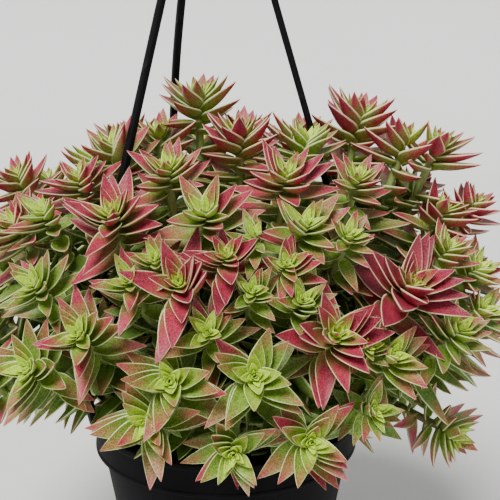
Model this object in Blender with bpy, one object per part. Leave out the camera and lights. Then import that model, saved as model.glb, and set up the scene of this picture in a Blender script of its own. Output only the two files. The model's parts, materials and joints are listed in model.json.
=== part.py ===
"""Potted crassula: a nursery pot on a three-strand hanger, overgrown by a mound of leaf rosettes.

Lengths below are in millimetres unless a name says otherwise; meshes are made in metres, +Z up.
The origin is the middle of the pot's underside. The front of the part faces -Y.
"""
import itertools
import math
import random
from collections import namedtuple

import bpy
import numpy as np
from mathutils import Matrix, Vector
from mathutils.bvhtree import BVHTree

MM = 0.001
UP = Vector((0.0, 0.0, 1.0))
FRONT = Vector((0.0, -1.0, 0.0))
BACK = Vector((0.0, 1.0, 0.0))
GAP = 0.3

# Pot
POT_HEIGHT = 95.0
RIM_RADIUS = 60.0
SKIRT_HEIGHT = 14.0
SKIRT_WALL = 1.2
WALL = 1.3
BASE_RADIUS = 42.5
WALL_TOP_RADIUS = 56.4
TAPER_TOP = 80.0
PAD_RADIUS = 12.0
FOOT_RECESS_RADIUS = 36.0
FOOT_RECESS = 1.4
FOOT_SLOPE = 0.6
FLOOR_TOP = 2.8
POT_SIDES = 30
DRAIN_HOLES = 5
DRAIN_HOLE_RADIUS = 4.0
DRAIN_HOLE_SIDES = 6
DRAIN_RING_RADIUS = 25.0
SLOT_LENGTH = 5.4
SLOT_WIDTH = 2.4
SLOT_RING_RADIUS = 0.5 * (WALL_TOP_RADIUS + RIM_RADIUS - SKIRT_WALL)

# Soil
SOIL_EDGE_HEIGHT = 84.0
SOIL_CROWN = 2.5
SOIL_SIDES = 18
SOIL_CLEARANCE = 0.6
SOIL_MIDDLE_SHARE = 0.55
STEM_DEPTH = 13.0
HOLE_GAP = 0.6
STEM_RING_RADIUS = 46.0

# Hanger: bow is (how far the strand swings out, where along it)
STRAND_ANGLES = (216.0, 0.0, 120.0)
STRAND_BOWS = ((17.0, 0.42), (12.0, 0.42), (15.0, 1.3))
STRAND_WIDTH = 3.4
STRAND_THICKNESS = 2.9
STRAND_STATIONS = 12
STRAND_START = 3.0
STRAND_STOP = 2.0
STRAND_FOOT_LENGTH = 4.8
STRAND_FOOT_THICKNESS = 1.4
STRAND_BAR_LENGTH = 7.6
STRAND_BAR_HEIGHT = 2.6
SHOULDER_LENGTH = 7.0
SHOULDER_HEIGHT = 1.6
TAB_LENGTH = 6.0
TAB_WIDTH = 2.8
TAB_THICKNESS = 1.8
HUB_BOTTOM = 346.0
HUB_RADIUS = 10.0
HUB_THICKNESS = 9.0
HUB_ACROSS = -4.4
HUB_CHAMFER = 1.0
HUB_SHOULDER = 2.0
SOCKET_RADIUS = 6.0
HOOK_SIDES = 8
HOOK_FOOT = 3.0
HOOK_STALK = 8.0
HOOK_RADIUS = 14.0
HOOK_WIRE = 2.4
HOOK_BEND_HEIGHT = 0.45
HOOK_NECK = (0.26, 0.98)
HOOK_START = -50.0
HOOK_END = 215.0
HOOK_STEPS = 12

# Mound of foliage: an oval dome about the pot's axis
MOUND_HALF_WIDTH = 122.0
MOUND_FRONT = 84.0
MOUND_BACK = 98.0
MOUND_WAIST = 114.0
MOUND_RISE = 112.0
MOUND_DROOP = 20.0
MOUND_POWER = 2.4
SLOPE_STEP = 0.5
# A rosette's heart is in the mound's surface and its base this far below. It faces partly straight
# out of the mound and partly up. One that the photograph shows faces less up and more to the front,
# and most so between these two rows of pixels and lower.
HEART_RISE = 14.5
NORMAL_SHARE = 0.75
UPWARD_SHARE = 0.70
FRONT_UPWARD_SHARE = 0.35
FRONT_SHARE = 0.32
FRONT_LEAST = 0.5
FRONT_ROWS = (270.0, 410.0)

# The front view, which places the rosettes that the photograph shows
EYE = Vector((11.0, -410.6, 268.1))
EYE_PITCH = 13.4
FOCAL_PIXELS = 950.0
FRAME_MIDDLE = 250.0
SIGHT_RANGE = (260, 620)

# Rosettes of the front, each by the pixel of its heart in the photograph: the length of its outer
# leaves, the turn of its first leaf pair in degrees, its blush from 0 green to 1 red, and how far
# back it stands from the mound's surface
Seen = namedtuple("Seen", "across_px down_px leaf turn blush back", defaults=(0.0,))
SEEN_ROSETTES = (
    Seen(146, 424, 25, 5, 0.30),
    Seen(233, 456, 20, 14, 0.20),
    Seen(312, 443, 23, 32, 0.35),
    Seen(378, 411, 14, 60, 0.05),
    Seen(169, 381, 25, 65, 0.25),
    Seen(255, 376, 25, 40, 0.20),
    Seen(338, 332, 26, 0, 0.85),
    Seen(395, 354, 21, 20, 0.30),
    Seen(414, 281, 30, 55, 0.95),
    Seen(304, 297, 16, 80, 0.05),
    Seen(252, 287, 15, 30, 0.15),
    Seen(207, 330, 19, 10, 0.30),
    Seen(178, 281, 27, 70, 0.80),
    Seen(225, 252, 21, 80, 0.90),
    Seen(75, 332, 21, 85, 0.50),
    Seen(24, 367, 24, 55, 0.30),
    Seen(30, 281, 18, 20, 0.10),
    Seen(127, 277, 18, 75, 0.30),
    Seen(153, 255, 15, 60, 0.30),
    Seen(10, 220, 23, 30, 0.60),
    Seen(110, 210, 25, 60, 0.70),
    Seen(40, 207, 19, 20, 0.15),
    Seen(166, 163, 21, 40, 0.40),
    Seen(204, 207, 23, 10, 0.35),
    Seen(112, 143, 23, 30, 0.30),
    Seen(198, 92, 24, 50, 0.30),
    Seen(287, 169, 22, 5, 0.60),
    Seen(306, 220, 21, 15, 0.20),
    Seen(255, 230, 14, 80, 0.05),
    Seen(351, 230, 15, 30, 0.25),
    Seen(287, 261, 18, 65, 0.50),
    Seen(446, 204, 22, 20, 0.50),
    Seen(363, 112, 26, 30, 0.45, 10),
    Seen(408, 134, 24, 10, 0.40),
    Seen(306, 140, 24, 60, 0.45, 36),
    Seen(360, 172, 18, 20, 0.35),
    Seen(481, 265, 21, 60, 0.30),
    Seen(488, 306, 19, 30, 0.20),
    Seen(240, 128, 23, 45, 0.60),
    Seen(13, 172, 20, 40, 0.60),
    Seen(77, 172, 20, 10, 0.60),
    Seen(371, 344, 12, 50, 0.10),
    Seen(478, 198, 18, 80, 0.70),
    Seen(440, 140, 23, 50, 0.30),
    Seen(159, 128, 22, 45, 0.45),
)
# The shoot that trails over the right of the rim, by the same pixels and how far back it hangs
TRAILING = Seen(459, 437, 20, 0, 0.35)
TRAILING_BACK = -22.0
TRAILING_FACING = Vector((0.72, -0.66, -0.18))

# Rosettes that the photograph does not show, spread over the rest of the mound
SPREAD_SEED = 10
SPREAD_TRIES = 6000
SPREAD_SPACING = 24.2
SPREAD_LEAF = (18.0, 24.0)
SPREAD_LOWEST = -0.7
SPREAD_STRAND_GAP = 8.0
SPREAD_BLUSH = (1.3, 1.8)
# lowest row of the photograph in which one of them may show, at these columns
LOWEST_COLUMNS = (-60.0, 90.0, 110.0, 430.0, 445.0, 560.0)
LOWEST_ROWS = (395.0, 385.0, 425.0, 425.0, 330.0, 320.0)

# Shoots and leaves
SHOOTS = 38
SHOOT_ROUNDS = 12
SWAYS = (0.0, 6.0, -6.0, 12.0, -12.0, 18.0, -18.0)
RISES = (0.0, 9.0, -7.0, 16.0)
FOOT_SPREAD = 0.93
FOOT_POWER = 0.9
LOW_HEIGHT = 30.0
LOW_BAND = 50.0
LOW_SPREAD = 0.12
BEND_SHARE = 0.62
BEND_RISE = 36.0
BEND_OUTWARD = 1.08
STEM_SHARES = (0.0, 0.2, 0.4)
STEM_CLEAR = 2.0
FORK_SHARE = 0.58
FORK_OVERLAP = 0.03
MAIN_STEM_RADIUS = 2.3
BRANCH_RADIUS = 1.7
CORE_RADIUS = 2.5
LEVEL_SWELL = 0.2
CORE_TAPER = 0.12
STEM_SIDES = 4
LEVEL_HEIGHT = 2.2
LEAF_WIDTH_SHARE = 0.42
LEAF_THICKNESS = 1.9
LEAF_WIDEST = 0.36
LEAF_CURL = 10.0
PAIR_TWIST = 6.0
BUD_SHARE = 0.4
# each pair of a rosette's leaves: tilt from the rosette's plane, share of the leaf length
LEAF_PAIRS = ((4.0, 1.0), (20.0, 0.92), (46.0, 0.66))
# the pair of older leaves down the stem of a rosette that the photograph shows
OLD_PAIR_BACK = 13.0
OLD_PAIR_TILT = 14.0
OLD_RING = 1
LIFTS = (0.0, 9.0, -9.0, 18.0, -18.0, 28.0, 40.0)
SHRINKS = (1.0, 0.82, 0.66)
CLEARANCE = 0.35
ROOT_HALF_WIDTH = 1.9
ROOT_HALF_HEIGHT = 1.2


def clear_scene():
    for obj in list(bpy.data.objects):
        bpy.data.objects.remove(obj, do_unlink=True)


def material(name, colour, roughness):
    mat = bpy.data.materials.new(name)
    mat.use_nodes = True
    shader = mat.node_tree.nodes["Principled BSDF"]
    shader.inputs["Base Color"].default_value = (*colour, 1.0)
    shader.inputs["Roughness"].default_value = roughness
    shader.inputs["Metallic"].default_value = 0.0
    return mat


def add_object(name, solid, mat, sharp_angle=None):
    points, faces = solid
    mesh = bpy.data.meshes.new(name)
    mesh.from_pydata([tuple(p * MM) for p in points], [], faces)
    mesh.materials.append(mat)
    obj = bpy.data.objects.new(name, mesh)
    bpy.context.scene.collection.objects.link(obj)
    if sharp_angle is not None:
        mesh.shade_smooth()
        mesh.set_sharp_from_angle(angle=math.radians(sharp_angle))
    return obj


def use_pieces(obj, operation, solids, mat, solver="EXACT"):
    """Join every solid to the object, or cut every solid from it, in one Boolean."""
    group = bpy.data.collections.new(obj.name + "_pieces")
    bpy.context.scene.collection.children.link(group)
    for number, solid in enumerate(solids):
        piece = add_object(f"{obj.name}_piece_{number}", solid, mat)
        bpy.context.scene.collection.objects.unlink(piece)
        group.objects.link(piece)
    modifier = obj.modifiers.new(operation.lower(), "BOOLEAN")
    modifier.operation = operation
    modifier.solver = solver
    modifier.operand_type = "COLLECTION"
    modifier.collection = group
    graph = bpy.context.evaluated_depsgraph_get()
    mesh = bpy.data.meshes.new_from_object(obj.evaluated_get(graph))
    obj.modifiers.clear()
    obj.data = mesh
    for piece in list(group.objects):
        bpy.data.objects.remove(piece, do_unlink=True)
    bpy.data.collections.remove(group)


def loft(rings):
    """Skin rings of equal point count and close both ends."""
    count = len(rings[0])
    points = [p for ring in rings for p in ring]
    faces = []
    for level in range(len(rings) - 1):
        low = level * count
        high = low + count
        for i in range(count):
            j = (i + 1) % count
            faces.append((low + i, low + j, high + j, high + i))
    faces.append(tuple(reversed(range(count))))
    last = len(points) - count
    faces.append(tuple(range(last, last + count)))
    return points, faces


def spike(rings, tip):
    """Skin rings, close the first and run the last one to a point."""
    points, faces = loft(rings)
    faces.pop()
    count = len(rings[0])
    last = len(points) - count
    points.append(tip)
    top = len(points) - 1
    for i in range(count):
        faces.append((last + i, last + (i + 1) % count, top))
    return points, faces


def turn_profile(profile, sides):
    """Revolve a closed outline of (radius, height) points that begins and ends on the axis."""
    rings = profile[1:-1]
    points = [Vector((0.0, 0.0, profile[0][1]))]
    for radius, height in rings:
        for i in range(sides):
            angle = 2.0 * math.pi * i / sides
            points.append(Vector((radius * math.cos(angle), radius * math.sin(angle), height)))
    points.append(Vector((0.0, 0.0, profile[-1][1])))
    top = len(points) - 1
    faces = []
    for i in range(sides):
        j = (i + 1) % sides
        faces.append((0, 1 + j, 1 + i))
        for level in range(len(rings) - 1):
            low = 1 + level * sides
            high = low + sides
            faces.append((low + i, low + j, high + j, high + i))
        last = 1 + (len(rings) - 1) * sides
        faces.append((last + i, last + j, top))
    return points, faces


def block(centre, half_across, half_along, half_up, angle):
    """A box whose across side points along the given angle about Z."""
    turn = Matrix.Rotation(math.radians(angle), 3, "Z")
    ring = ((-1, -1), (1, -1), (1, 1), (-1, 1))
    rings = []
    for level in (-half_up, half_up):
        rings.append([centre + turn @ Vector((x * half_across, y * half_along, level)) for x, y in ring])
    return loft(rings)


def prism(centre, radius, height, sides):
    rings = []
    for level in (0.0, height):
        ring = []
        for i in range(sides):
            angle = 2.0 * math.pi * i / sides
            ring.append(centre + Vector((radius * math.cos(angle), radius * math.sin(angle), level)))
        rings.append(ring)
    return loft(rings)


def around(angle, radius, height):
    a = math.radians(angle)
    return Vector((radius * math.cos(a), radius * math.sin(a), height))


def wall_radius(height):
    """Outer radius of the tapered wall."""
    share = min(height / TAPER_TOP, 1.0)
    return BASE_RADIUS + (WALL_TOP_RADIUS - BASE_RADIUS) * share


def make_pot(mat):
    skirt_bottom = POT_HEIGHT - SKIRT_HEIGHT
    plate_under = POT_HEIGHT - WALL
    profile = (
        (0.0, 0.0),
        (PAD_RADIUS, 0.0),
        (PAD_RADIUS + FOOT_SLOPE, FOOT_RECESS),
        (FOOT_RECESS_RADIUS, FOOT_RECESS),
        (FOOT_RECESS_RADIUS + FOOT_SLOPE, 0.0),
        (BASE_RADIUS, 0.0),
        (WALL_TOP_RADIUS, TAPER_TOP),
        (WALL_TOP_RADIUS, plate_under),
        (RIM_RADIUS - SKIRT_WALL, plate_under),
        (RIM_RADIUS - SKIRT_WALL, skirt_bottom),
        (RIM_RADIUS, skirt_bottom),
        (RIM_RADIUS, POT_HEIGHT),
        (WALL_TOP_RADIUS - WALL, POT_HEIGHT),
        (WALL_TOP_RADIUS - WALL, TAPER_TOP),
        (wall_radius(FLOOR_TOP) - WALL, FLOOR_TOP),
        (0.0, FLOOR_TOP),
    )
    pot = add_object("pot", turn_profile(profile, POT_SIDES), mat, 30)
    cutters = []
    for i in range(DRAIN_HOLES):
        centre = around(360.0 * i / DRAIN_HOLES, DRAIN_RING_RADIUS, -FLOOR_TOP)
        cutters.append(prism(centre, DRAIN_HOLE_RADIUS, 3.0 * FLOOR_TOP, DRAIN_HOLE_SIDES))
    for angle in STRAND_ANGLES:
        centre = around(angle, SLOT_RING_RADIUS, POT_HEIGHT - 0.5 * WALL)
        cutters.append(block(centre, 0.5 * SLOT_WIDTH, 0.5 * SLOT_LENGTH, WALL, angle))
    use_pieces(pot, "DIFFERENCE", cutters, mat)
    return pot


def soil_height(radius):
    return SOIL_EDGE_HEIGHT + SOIL_CROWN * (1.0 - (radius / WALL_TOP_RADIUS) ** 2)


def make_soil(mat, feet):
    """Fill the pot, with a plain square hole round each stem's foot."""
    bottom = FLOOR_TOP + GAP
    shrink = WALL + SOIL_CLEARANCE
    middle = SOIL_MIDDLE_SHARE * WALL_TOP_RADIUS
    profile = (
        (0.0, bottom),
        (wall_radius(bottom) - shrink, bottom),
        (WALL_TOP_RADIUS - shrink, TAPER_TOP),
        (WALL_TOP_RADIUS - shrink, SOIL_EDGE_HEIGHT),
        (middle, soil_height(middle)),
        (0.0, soil_height(0.0)),
    )
    soil = add_object("soil", turn_profile(profile, SOIL_SIDES), mat, 40)
    radii = [MAIN_STEM_RADIUS + HOLE_GAP] * 2
    cutters = [tube([foot - GAP * UP, foot + 2.0 * STEM_DEPTH * UP], radii, STEM_SIDES) for foot in feet]
    use_pieces(soil, "DIFFERENCE", cutters, mat)
    return soil


def strand_point(number, share):
    """A point of a strand's centre line, from the rim (0) to the hub (1)."""
    angle = STRAND_ANGLES[number]
    swing, place = STRAND_BOWS[number]
    low = around(angle, SLOT_RING_RADIUS, POT_HEIGHT + STRAND_START)
    high = around(angle, SOCKET_RADIUS, HUB_BOTTOM - STRAND_STOP) + Vector((HUB_ACROSS, 0.0, 0.0))
    bow = swing * math.sin(math.pi * share ** place) if share > 0.0 else 0.0
    return low.lerp(high, share) + around(angle, bow, 0.0)


def flat_ring(centre, length, thickness, along, outward):
    half_l = 0.5 * length * along
    half_t = 0.5 * thickness * outward
    return [centre - half_l - half_t, centre - half_l + half_t, centre + half_l + half_t,
            centre + half_l - half_t]


def strand_solid(number):
    angle = STRAND_ANGLES[number]
    out = around(angle, 1.0, 0.0)
    along = UP.cross(out)
    seat = around(angle, SLOT_RING_RADIUS, 0.0)
    under = POT_HEIGHT - WALL - GAP
    over = POT_HEIGHT + GAP
    rings = []
    for height, length in ((under - STRAND_BAR_HEIGHT, STRAND_BAR_LENGTH), (under, STRAND_BAR_LENGTH),
                           (under, STRAND_FOOT_LENGTH), (over, STRAND_FOOT_LENGTH)):
        rings.append(flat_ring(seat + height * UP, length, STRAND_FOOT_THICKNESS, along, out))
    for height in (over, over + SHOULDER_HEIGHT):
        rings.append(flat_ring(seat + height * UP, SHOULDER_LENGTH, STRAND_THICKNESS, along, out))
    for i in range(STRAND_STATIONS + 1):
        share = i / STRAND_STATIONS
        step = 0.5 / STRAND_STATIONS
        ahead = strand_point(number, min(share + step, 1.0))
        behind = strand_point(number, max(share - step, 0.0))
        tangent = (ahead - behind).normalized()
        rings.append(flat_ring(strand_point(number, share), STRAND_WIDTH, STRAND_THICKNESS, along,
                               along.cross(tangent)))
    top = around(angle, SOCKET_RADIUS, 0.0) + Vector((HUB_ACROSS, 0.0, 0.0))
    for height in (HUB_BOTTOM - GAP, HUB_BOTTOM + TAB_LENGTH):
        rings.append(flat_ring(top + height * UP, TAB_WIDTH, TAB_THICKNESS, along, out))
    return loft(rings)


def hook_path():
    """Centre line of the hook in its own plane: up the stalk, out, and round to the open tip."""
    top = HUB_BOTTOM + HUB_THICKNESS + HOOK_FOOT
    middle = top + HOOK_STALK + HOOK_RADIUS
    neck_across, neck_down = HOOK_NECK
    path = [(0.0, top), (0.0, top + HOOK_BEND_HEIGHT * HOOK_STALK),
            (neck_across * HOOK_RADIUS, middle - neck_down * HOOK_RADIUS)]
    for i in range(HOOK_STEPS + 1):
        turn = math.radians(HOOK_START + (HOOK_END - HOOK_START) * i / HOOK_STEPS)
        path.append((HOOK_RADIUS * math.cos(turn), middle + HOOK_RADIUS * math.sin(turn)))
    return [Vector((HUB_ACROSS + across, 0.0, height)) for across, height in path]


def make_hook(mat):
    """Hub with three sockets, a short stalk and a round open hook, all one moulding."""
    centre = Vector((HUB_ACROSS, 0.0, 0.0))
    side = Vector((0.0, 1.0, 0.0))
    top = HUB_BOTTOM + HUB_THICKNESS
    rings = []
    for radius, height in ((HUB_RADIUS - HUB_CHAMFER, HUB_BOTTOM), (HUB_RADIUS, HUB_BOTTOM + HUB_CHAMFER),
                           (HUB_RADIUS, top - HUB_SHOULDER), (HOOK_WIRE + HUB_SHOULDER, top)):
        rings.append([centre + around(360.0 * i / HOOK_SIDES, radius, height) for i in range(HOOK_SIDES)])
    path = hook_path()
    for i, point in enumerate(path):
        ahead = path[min(i + 1, len(path) - 1)] - path[max(i - 1, 0)]
        outer = side.cross(UP if i == 0 else ahead.normalized())
        ring = []
        for k in range(HOOK_SIDES):
            a = 2.0 * math.pi * k / HOOK_SIDES
            ring.append(point + HOOK_WIRE * (math.cos(a) * outer + math.sin(a) * side))
        rings.append(ring)
    hook = add_object("hanger_hook", loft(rings), mat, 40)
    sockets = []
    for angle in STRAND_ANGLES:
        spot = centre + around(angle, SOCKET_RADIUS, HUB_BOTTOM + 0.5 * TAB_LENGTH)
        sockets.append(block(spot, 0.5 * TAB_THICKNESS + GAP, 0.5 * TAB_WIDTH + GAP,
                             0.5 * TAB_LENGTH + GAP, angle))
    use_pieces(hook, "DIFFERENCE", sockets, mat)
    return hook


def mound_reach(angle):
    """Half width of the mound in a direction about the axis, in radians."""
    depth = MOUND_FRONT if math.sin(angle) < 0.0 else MOUND_BACK
    return 1.0 / math.hypot(math.cos(angle) / MOUND_HALF_WIDTH, math.sin(angle) / depth)


def mound_level(point):
    """Below 1 inside the mound and above 1 outside it."""
    reach = mound_reach(math.atan2(point.y, point.x))
    rise = MOUND_RISE if point.z > MOUND_WAIST else MOUND_DROOP
    flat = math.hypot(point.x, point.y) / reach
    tall = abs(point.z - MOUND_WAIST) / rise
    return (flat ** MOUND_POWER + tall ** MOUND_POWER) ** (1.0 / MOUND_POWER)


def mound_point(angle, lift):
    """Surface point at an angle about the axis and an angle above the waist, in radians."""
    flat = math.cos(lift)
    tall = abs(math.sin(lift))
    scale = (flat ** MOUND_POWER + tall ** MOUND_POWER) ** (-1.0 / MOUND_POWER)
    reach = mound_reach(angle)
    rise = MOUND_RISE if lift > 0.0 else MOUND_DROOP
    return Vector((reach * scale * flat * math.cos(angle), reach * scale * flat * math.sin(angle),
                   MOUND_WAIST + rise * scale * math.sin(lift)))


def mound_normal(point):
    slope = Vector((0.0, 0.0, 0.0))
    for axis in range(3):
        shift = Vector((0.0, 0.0, 0.0))
        shift[axis] = SLOPE_STEP
        slope[axis] = mound_level(point + shift) - mound_level(point - shift)
    return slope.normalized()


def sight_axes():
    """The view's directions ahead, to the right and up."""
    pitch = math.radians(EYE_PITCH)
    ahead = Vector((0.0, math.cos(pitch), -math.sin(pitch)))
    return ahead, Vector((1.0, 0.0, 0.0)), Vector((0.0, math.sin(pitch), math.cos(pitch)))


def sight_line(across_px, down_px):
    """Unit vector from the eye through a pixel of the photograph."""
    ahead, right, above = sight_axes()
    aim = (ahead + right * ((across_px - FRAME_MIDDLE) / FOCAL_PIXELS)
           + above * ((FRAME_MIDDLE - down_px) / FOCAL_PIXELS))
    return aim.normalized()


def shows_too_low(point):
    """Whether the photograph's view has this point under its foliage."""
    ahead, right, above = sight_axes()
    way = point - EYE
    zoom = FOCAL_PIXELS / way.dot(ahead)
    across_px = FRAME_MIDDLE + zoom * way.dot(right)
    down_px = FRAME_MIDDLE - zoom * way.dot(above)
    inside = LOWEST_COLUMNS[0] < across_px < LOWEST_COLUMNS[-1]
    return inside and down_px > np.interp(across_px, LOWEST_COLUMNS, LOWEST_ROWS)


def seen_point(across_px, down_px):
    """Where the line of sight first meets the mound, or passes nearest to it."""
    aim = sight_line(across_px, down_px)
    nearest = None
    for step in range(*SIGHT_RANGE):
        point = EYE + step * aim
        level = mound_level(point)
        if nearest is None or level < nearest[0]:
            nearest = (level, point)
        if level <= 1.0:
            break
    return nearest[1]


Rosette = namedtuple("Rosette", "base facing leaf turn blush old_pair")


def rosette_at(point, front, leaf, turn, blush, old_pair):
    """A rosette with its heart here; front says how much it turns to the front, 0 to 1."""
    upward = UPWARD_SHARE + front * (FRONT_UPWARD_SHARE - UPWARD_SHARE)
    facing = NORMAL_SHARE * mound_normal(point) + upward * UP + front * FRONT_SHARE * FRONT
    facing.normalize()
    return Rosette(point - HEART_RISE * facing, facing, leaf, turn, blush, old_pair)


def strand_distance(point):
    places = [strand_point(number, i / (4 * STRAND_STATIONS))
              for number in range(len(STRAND_ANGLES)) for i in range(4 * STRAND_STATIONS + 1)]
    return min((point - place).length for place in places)


def lay_rosettes():
    """All rosettes: those of the photograph first, then a seeded spread over the rest."""
    rosettes = []
    for seen in SEEN_ROSETTES:
        point = seen_point(seen.across_px, seen.down_px) + seen.back * BACK
        low = (seen.down_px - FRONT_ROWS[0]) / (FRONT_ROWS[1] - FRONT_ROWS[0])
        front = min(max(low, FRONT_LEAST), 1.0)
        rosettes.append(rosette_at(point, front, seen.leaf, seen.turn, seen.blush, True))
    aim = sight_line(TRAILING.across_px, TRAILING.down_px)
    heart = EYE + aim * ((TRAILING_BACK - EYE.y) / aim.y)
    facing = TRAILING_FACING.normalized()
    rosettes.append(Rosette(heart - HEART_RISE * facing, facing, TRAILING.leaf, TRAILING.turn,
                            TRAILING.blush, True))
    draw = random.Random(SPREAD_SEED)
    for _ in range(SPREAD_TRIES):
        angle = draw.uniform(-math.pi, math.pi)
        lift = math.asin(draw.uniform(SPREAD_LOWEST, 1.0))
        leaf = draw.uniform(*SPREAD_LEAF)
        turn = draw.uniform(0.0, 90.0)
        blush = draw.betavariate(*SPREAD_BLUSH)
        point = mound_point(angle, lift)
        rosette = rosette_at(point, 0.0, leaf, turn, blush, False)
        if shows_too_low(point):
            continue
        if min((rosette.base - other.base).length for other in rosettes) < SPREAD_SPACING:
            continue
        if strand_distance(rosette.base) >= SPREAD_STRAND_GAP:
            rosettes.append(rosette)
    return rosettes


def group_rosettes(rosettes):
    """Share neighbouring rosettes out among the shoots."""
    places = [r.base for r in rosettes]
    centres = [places[0]]
    while len(centres) < SHOOTS:
        centres.append(max(places, key=lambda p: min((p - c).length for c in centres)).copy())
    for _ in range(SHOOT_ROUNDS):
        groups = [[] for _ in centres]
        for number, place in enumerate(places):
            nearest = min(range(len(centres)), key=lambda k: (place - centres[k]).length)
            groups[nearest].append(number)
        for k, members in enumerate(groups):
            if members:
                centres[k] = sum((places[m] for m in members), Vector((0, 0, 0))) / len(members)
    return [members for members in groups if members]


def tube(points, radii, sides):
    """A round stem through points, closed at both ends."""
    rings = []
    side = None
    for i, point in enumerate(points):
        ahead = points[min(i + 1, len(points) - 1)] - points[max(i - 1, 0)]
        ahead.normalize()
        if side is None:
            side = ahead.orthogonal().normalized()
        side = (side - ahead * side.dot(ahead)).normalized()
        other = ahead.cross(side)
        ring = []
        for k in range(sides):
            a = 2.0 * math.pi * k / sides
            ring.append(point + radii[i] * (math.cos(a) * side + math.sin(a) * other))
        rings.append(ring)
    return loft(rings)


def arc_point(a, b, c, share):
    """A point of the curve that leaves a towards b and arrives at c."""
    return a.lerp(b, share).lerp(b.lerp(c, share), share)


def shoot_route(members, rosettes):
    """Foot in the soil, bend and fork of the stem that carries these rosettes."""
    middle = sum((rosettes[m].base for m in members), Vector((0, 0, 0))) / len(members)
    angle = math.atan2(middle.y, middle.x)
    spread = math.hypot(middle.x, middle.y) / mound_reach(angle)
    low = max(0.0, (MOUND_WAIST + LOW_HEIGHT - middle.z) / LOW_BAND)
    share = min(1.0, FOOT_SPREAD * spread ** FOOT_POWER + LOW_SPREAD * min(low, 1.0))
    radius = STEM_RING_RADIUS * share
    foot = Vector((radius * math.cos(angle), radius * math.sin(angle), 0.0))
    foot.z = soil_height(radius) - STEM_DEPTH
    rise = max(BEND_SHARE * (middle.z - SOIL_EDGE_HEIGHT), BEND_RISE)
    bend = Vector((foot.x * BEND_OUTWARD, foot.y * BEND_OUTWARD, SOIL_EDGE_HEIGHT + rise))
    return foot, bend, middle


def frame_of(rosette):
    """Right and upper directions in the rosette's own plane, as seen from the front."""
    facing = rosette.facing
    right = Vector((1.0, 0.0, 0.0)) - facing * facing.x
    right.normalize()
    return right, facing.cross(right)


def leaf_shape(rosette, root, azimuth, tilt, length, extra=0.0):
    """Margins, keel and tip of one leaf: widest near a third of its length, keeled underneath."""
    right, above = frame_of(rosette)
    a = math.radians(azimuth)
    outward = math.cos(a) * right + math.sin(a) * above
    across = rosette.facing.cross(outward)
    start = math.radians(tilt)
    finish = math.radians(tilt + LEAF_CURL)
    first = length * LEAF_WIDEST
    rest = length - first + extra
    belly = root + first * (math.cos(start) * outward + math.sin(start) * rosette.facing)
    tip = belly + rest * (math.cos(finish) * outward + math.sin(finish) * rosette.facing)
    half = 0.5 * LEAF_WIDTH_SHARE * length + extra
    down = math.sin(start) * outward - math.cos(start) * rosette.facing
    keel = belly + (LEAF_THICKNESS + extra) * down
    return belly + half * across, belly - half * across, keel, tip


def leaf_probe(rosette, root, azimuth, tilt, length, root_share):
    """A slightly swollen closed copy of a leaf, from a share of the way to its widest point."""
    left, right, keel, tip = leaf_shape(rosette, root, azimuth, tilt, length, CLEARANCE)
    side = ROOT_HALF_WIDTH * (left - right).normalized()
    rise = ROOT_HALF_HEIGHT * rosette.facing
    widest = (left, right, keel, keel)
    corners = (root + side + rise, root - side + rise, root - side - rise, root + side - rise)
    start = [corner.lerp(point, root_share) for corner, point in zip(corners, widest)]
    return spike([start, list(widest)], tip)


class Space:
    """Solids that are already placed, and which shoot and rosette own each."""

    def __init__(self):
        self.entries = []

    def add(self, solid, owner):
        points, faces = solid
        middle = sum(points, Vector((0, 0, 0))) / len(points)
        reach = max((p - middle).length for p in points)
        self.entries.append((middle, reach, BVHTree.FromPolygons(points, faces), owner))

    def crossed(self, solid, skip):
        points, faces = solid
        middle = sum(points, Vector((0, 0, 0))) / len(points)
        reach = max((p - middle).length for p in points)
        tree = None
        for other, far, known, owner in self.entries:
            if (other - middle).length > reach + far or skip(owner):
                continue
            if tree is None:
                tree = BVHTree.FromPolygons(points, faces)
            if tree.overlap(known):
                return True
        return False


def first_ring(rosette):
    """The ring of a branch from which the rosette's lowest leaves grow."""
    return OLD_RING + 2 if rosette.old_pair else OLD_RING + 1


def branch_rings(fork, rosette):
    """Square rings up a branch: its run, the old leaf pair's level if it has one, the rosette's levels."""
    base = rosette.base
    facing = rosette.facing
    old = base - OLD_PAIR_BACK * facing
    centres = [fork, old]
    radii = [BRANCH_RADIUS, BRANCH_RADIUS + LEVEL_SWELL]
    if rosette.old_pair:
        centres.append(old + LEVEL_HEIGHT * facing)
        radii.append(BRANCH_RADIUS + LEVEL_SWELL)
    for level in range(len(LEAF_PAIRS) + 1):
        centres.append(base + level * LEVEL_HEIGHT * facing)
        radii.append(CORE_RADIUS - CORE_TAPER * level)
    right, above = frame_of(rosette)
    rings = []
    for i, centre in enumerate(centres):
        ahead = facing if i >= OLD_RING else (centres[1] - centre).normalized()
        side = (right - ahead * right.dot(ahead)).normalized()
        other = ahead.cross(side)
        turn = rosette.turn + PAIR_TWIST * max(i - first_ring(rosette), -1)
        ring = []
        for k in range(4):
            a = math.radians(turn - 45.0 + 90.0 * k)
            ring.append(centre + radii[i] * (math.cos(a) * side + math.sin(a) * other))
        rings.append(ring)
    bud = centres[-1] + BUD_SHARE * rosette.leaf * facing
    return rings, bud


BranchLeaf = namedtuple("BranchLeaf", "order ring face azimuth tilt length")


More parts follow.
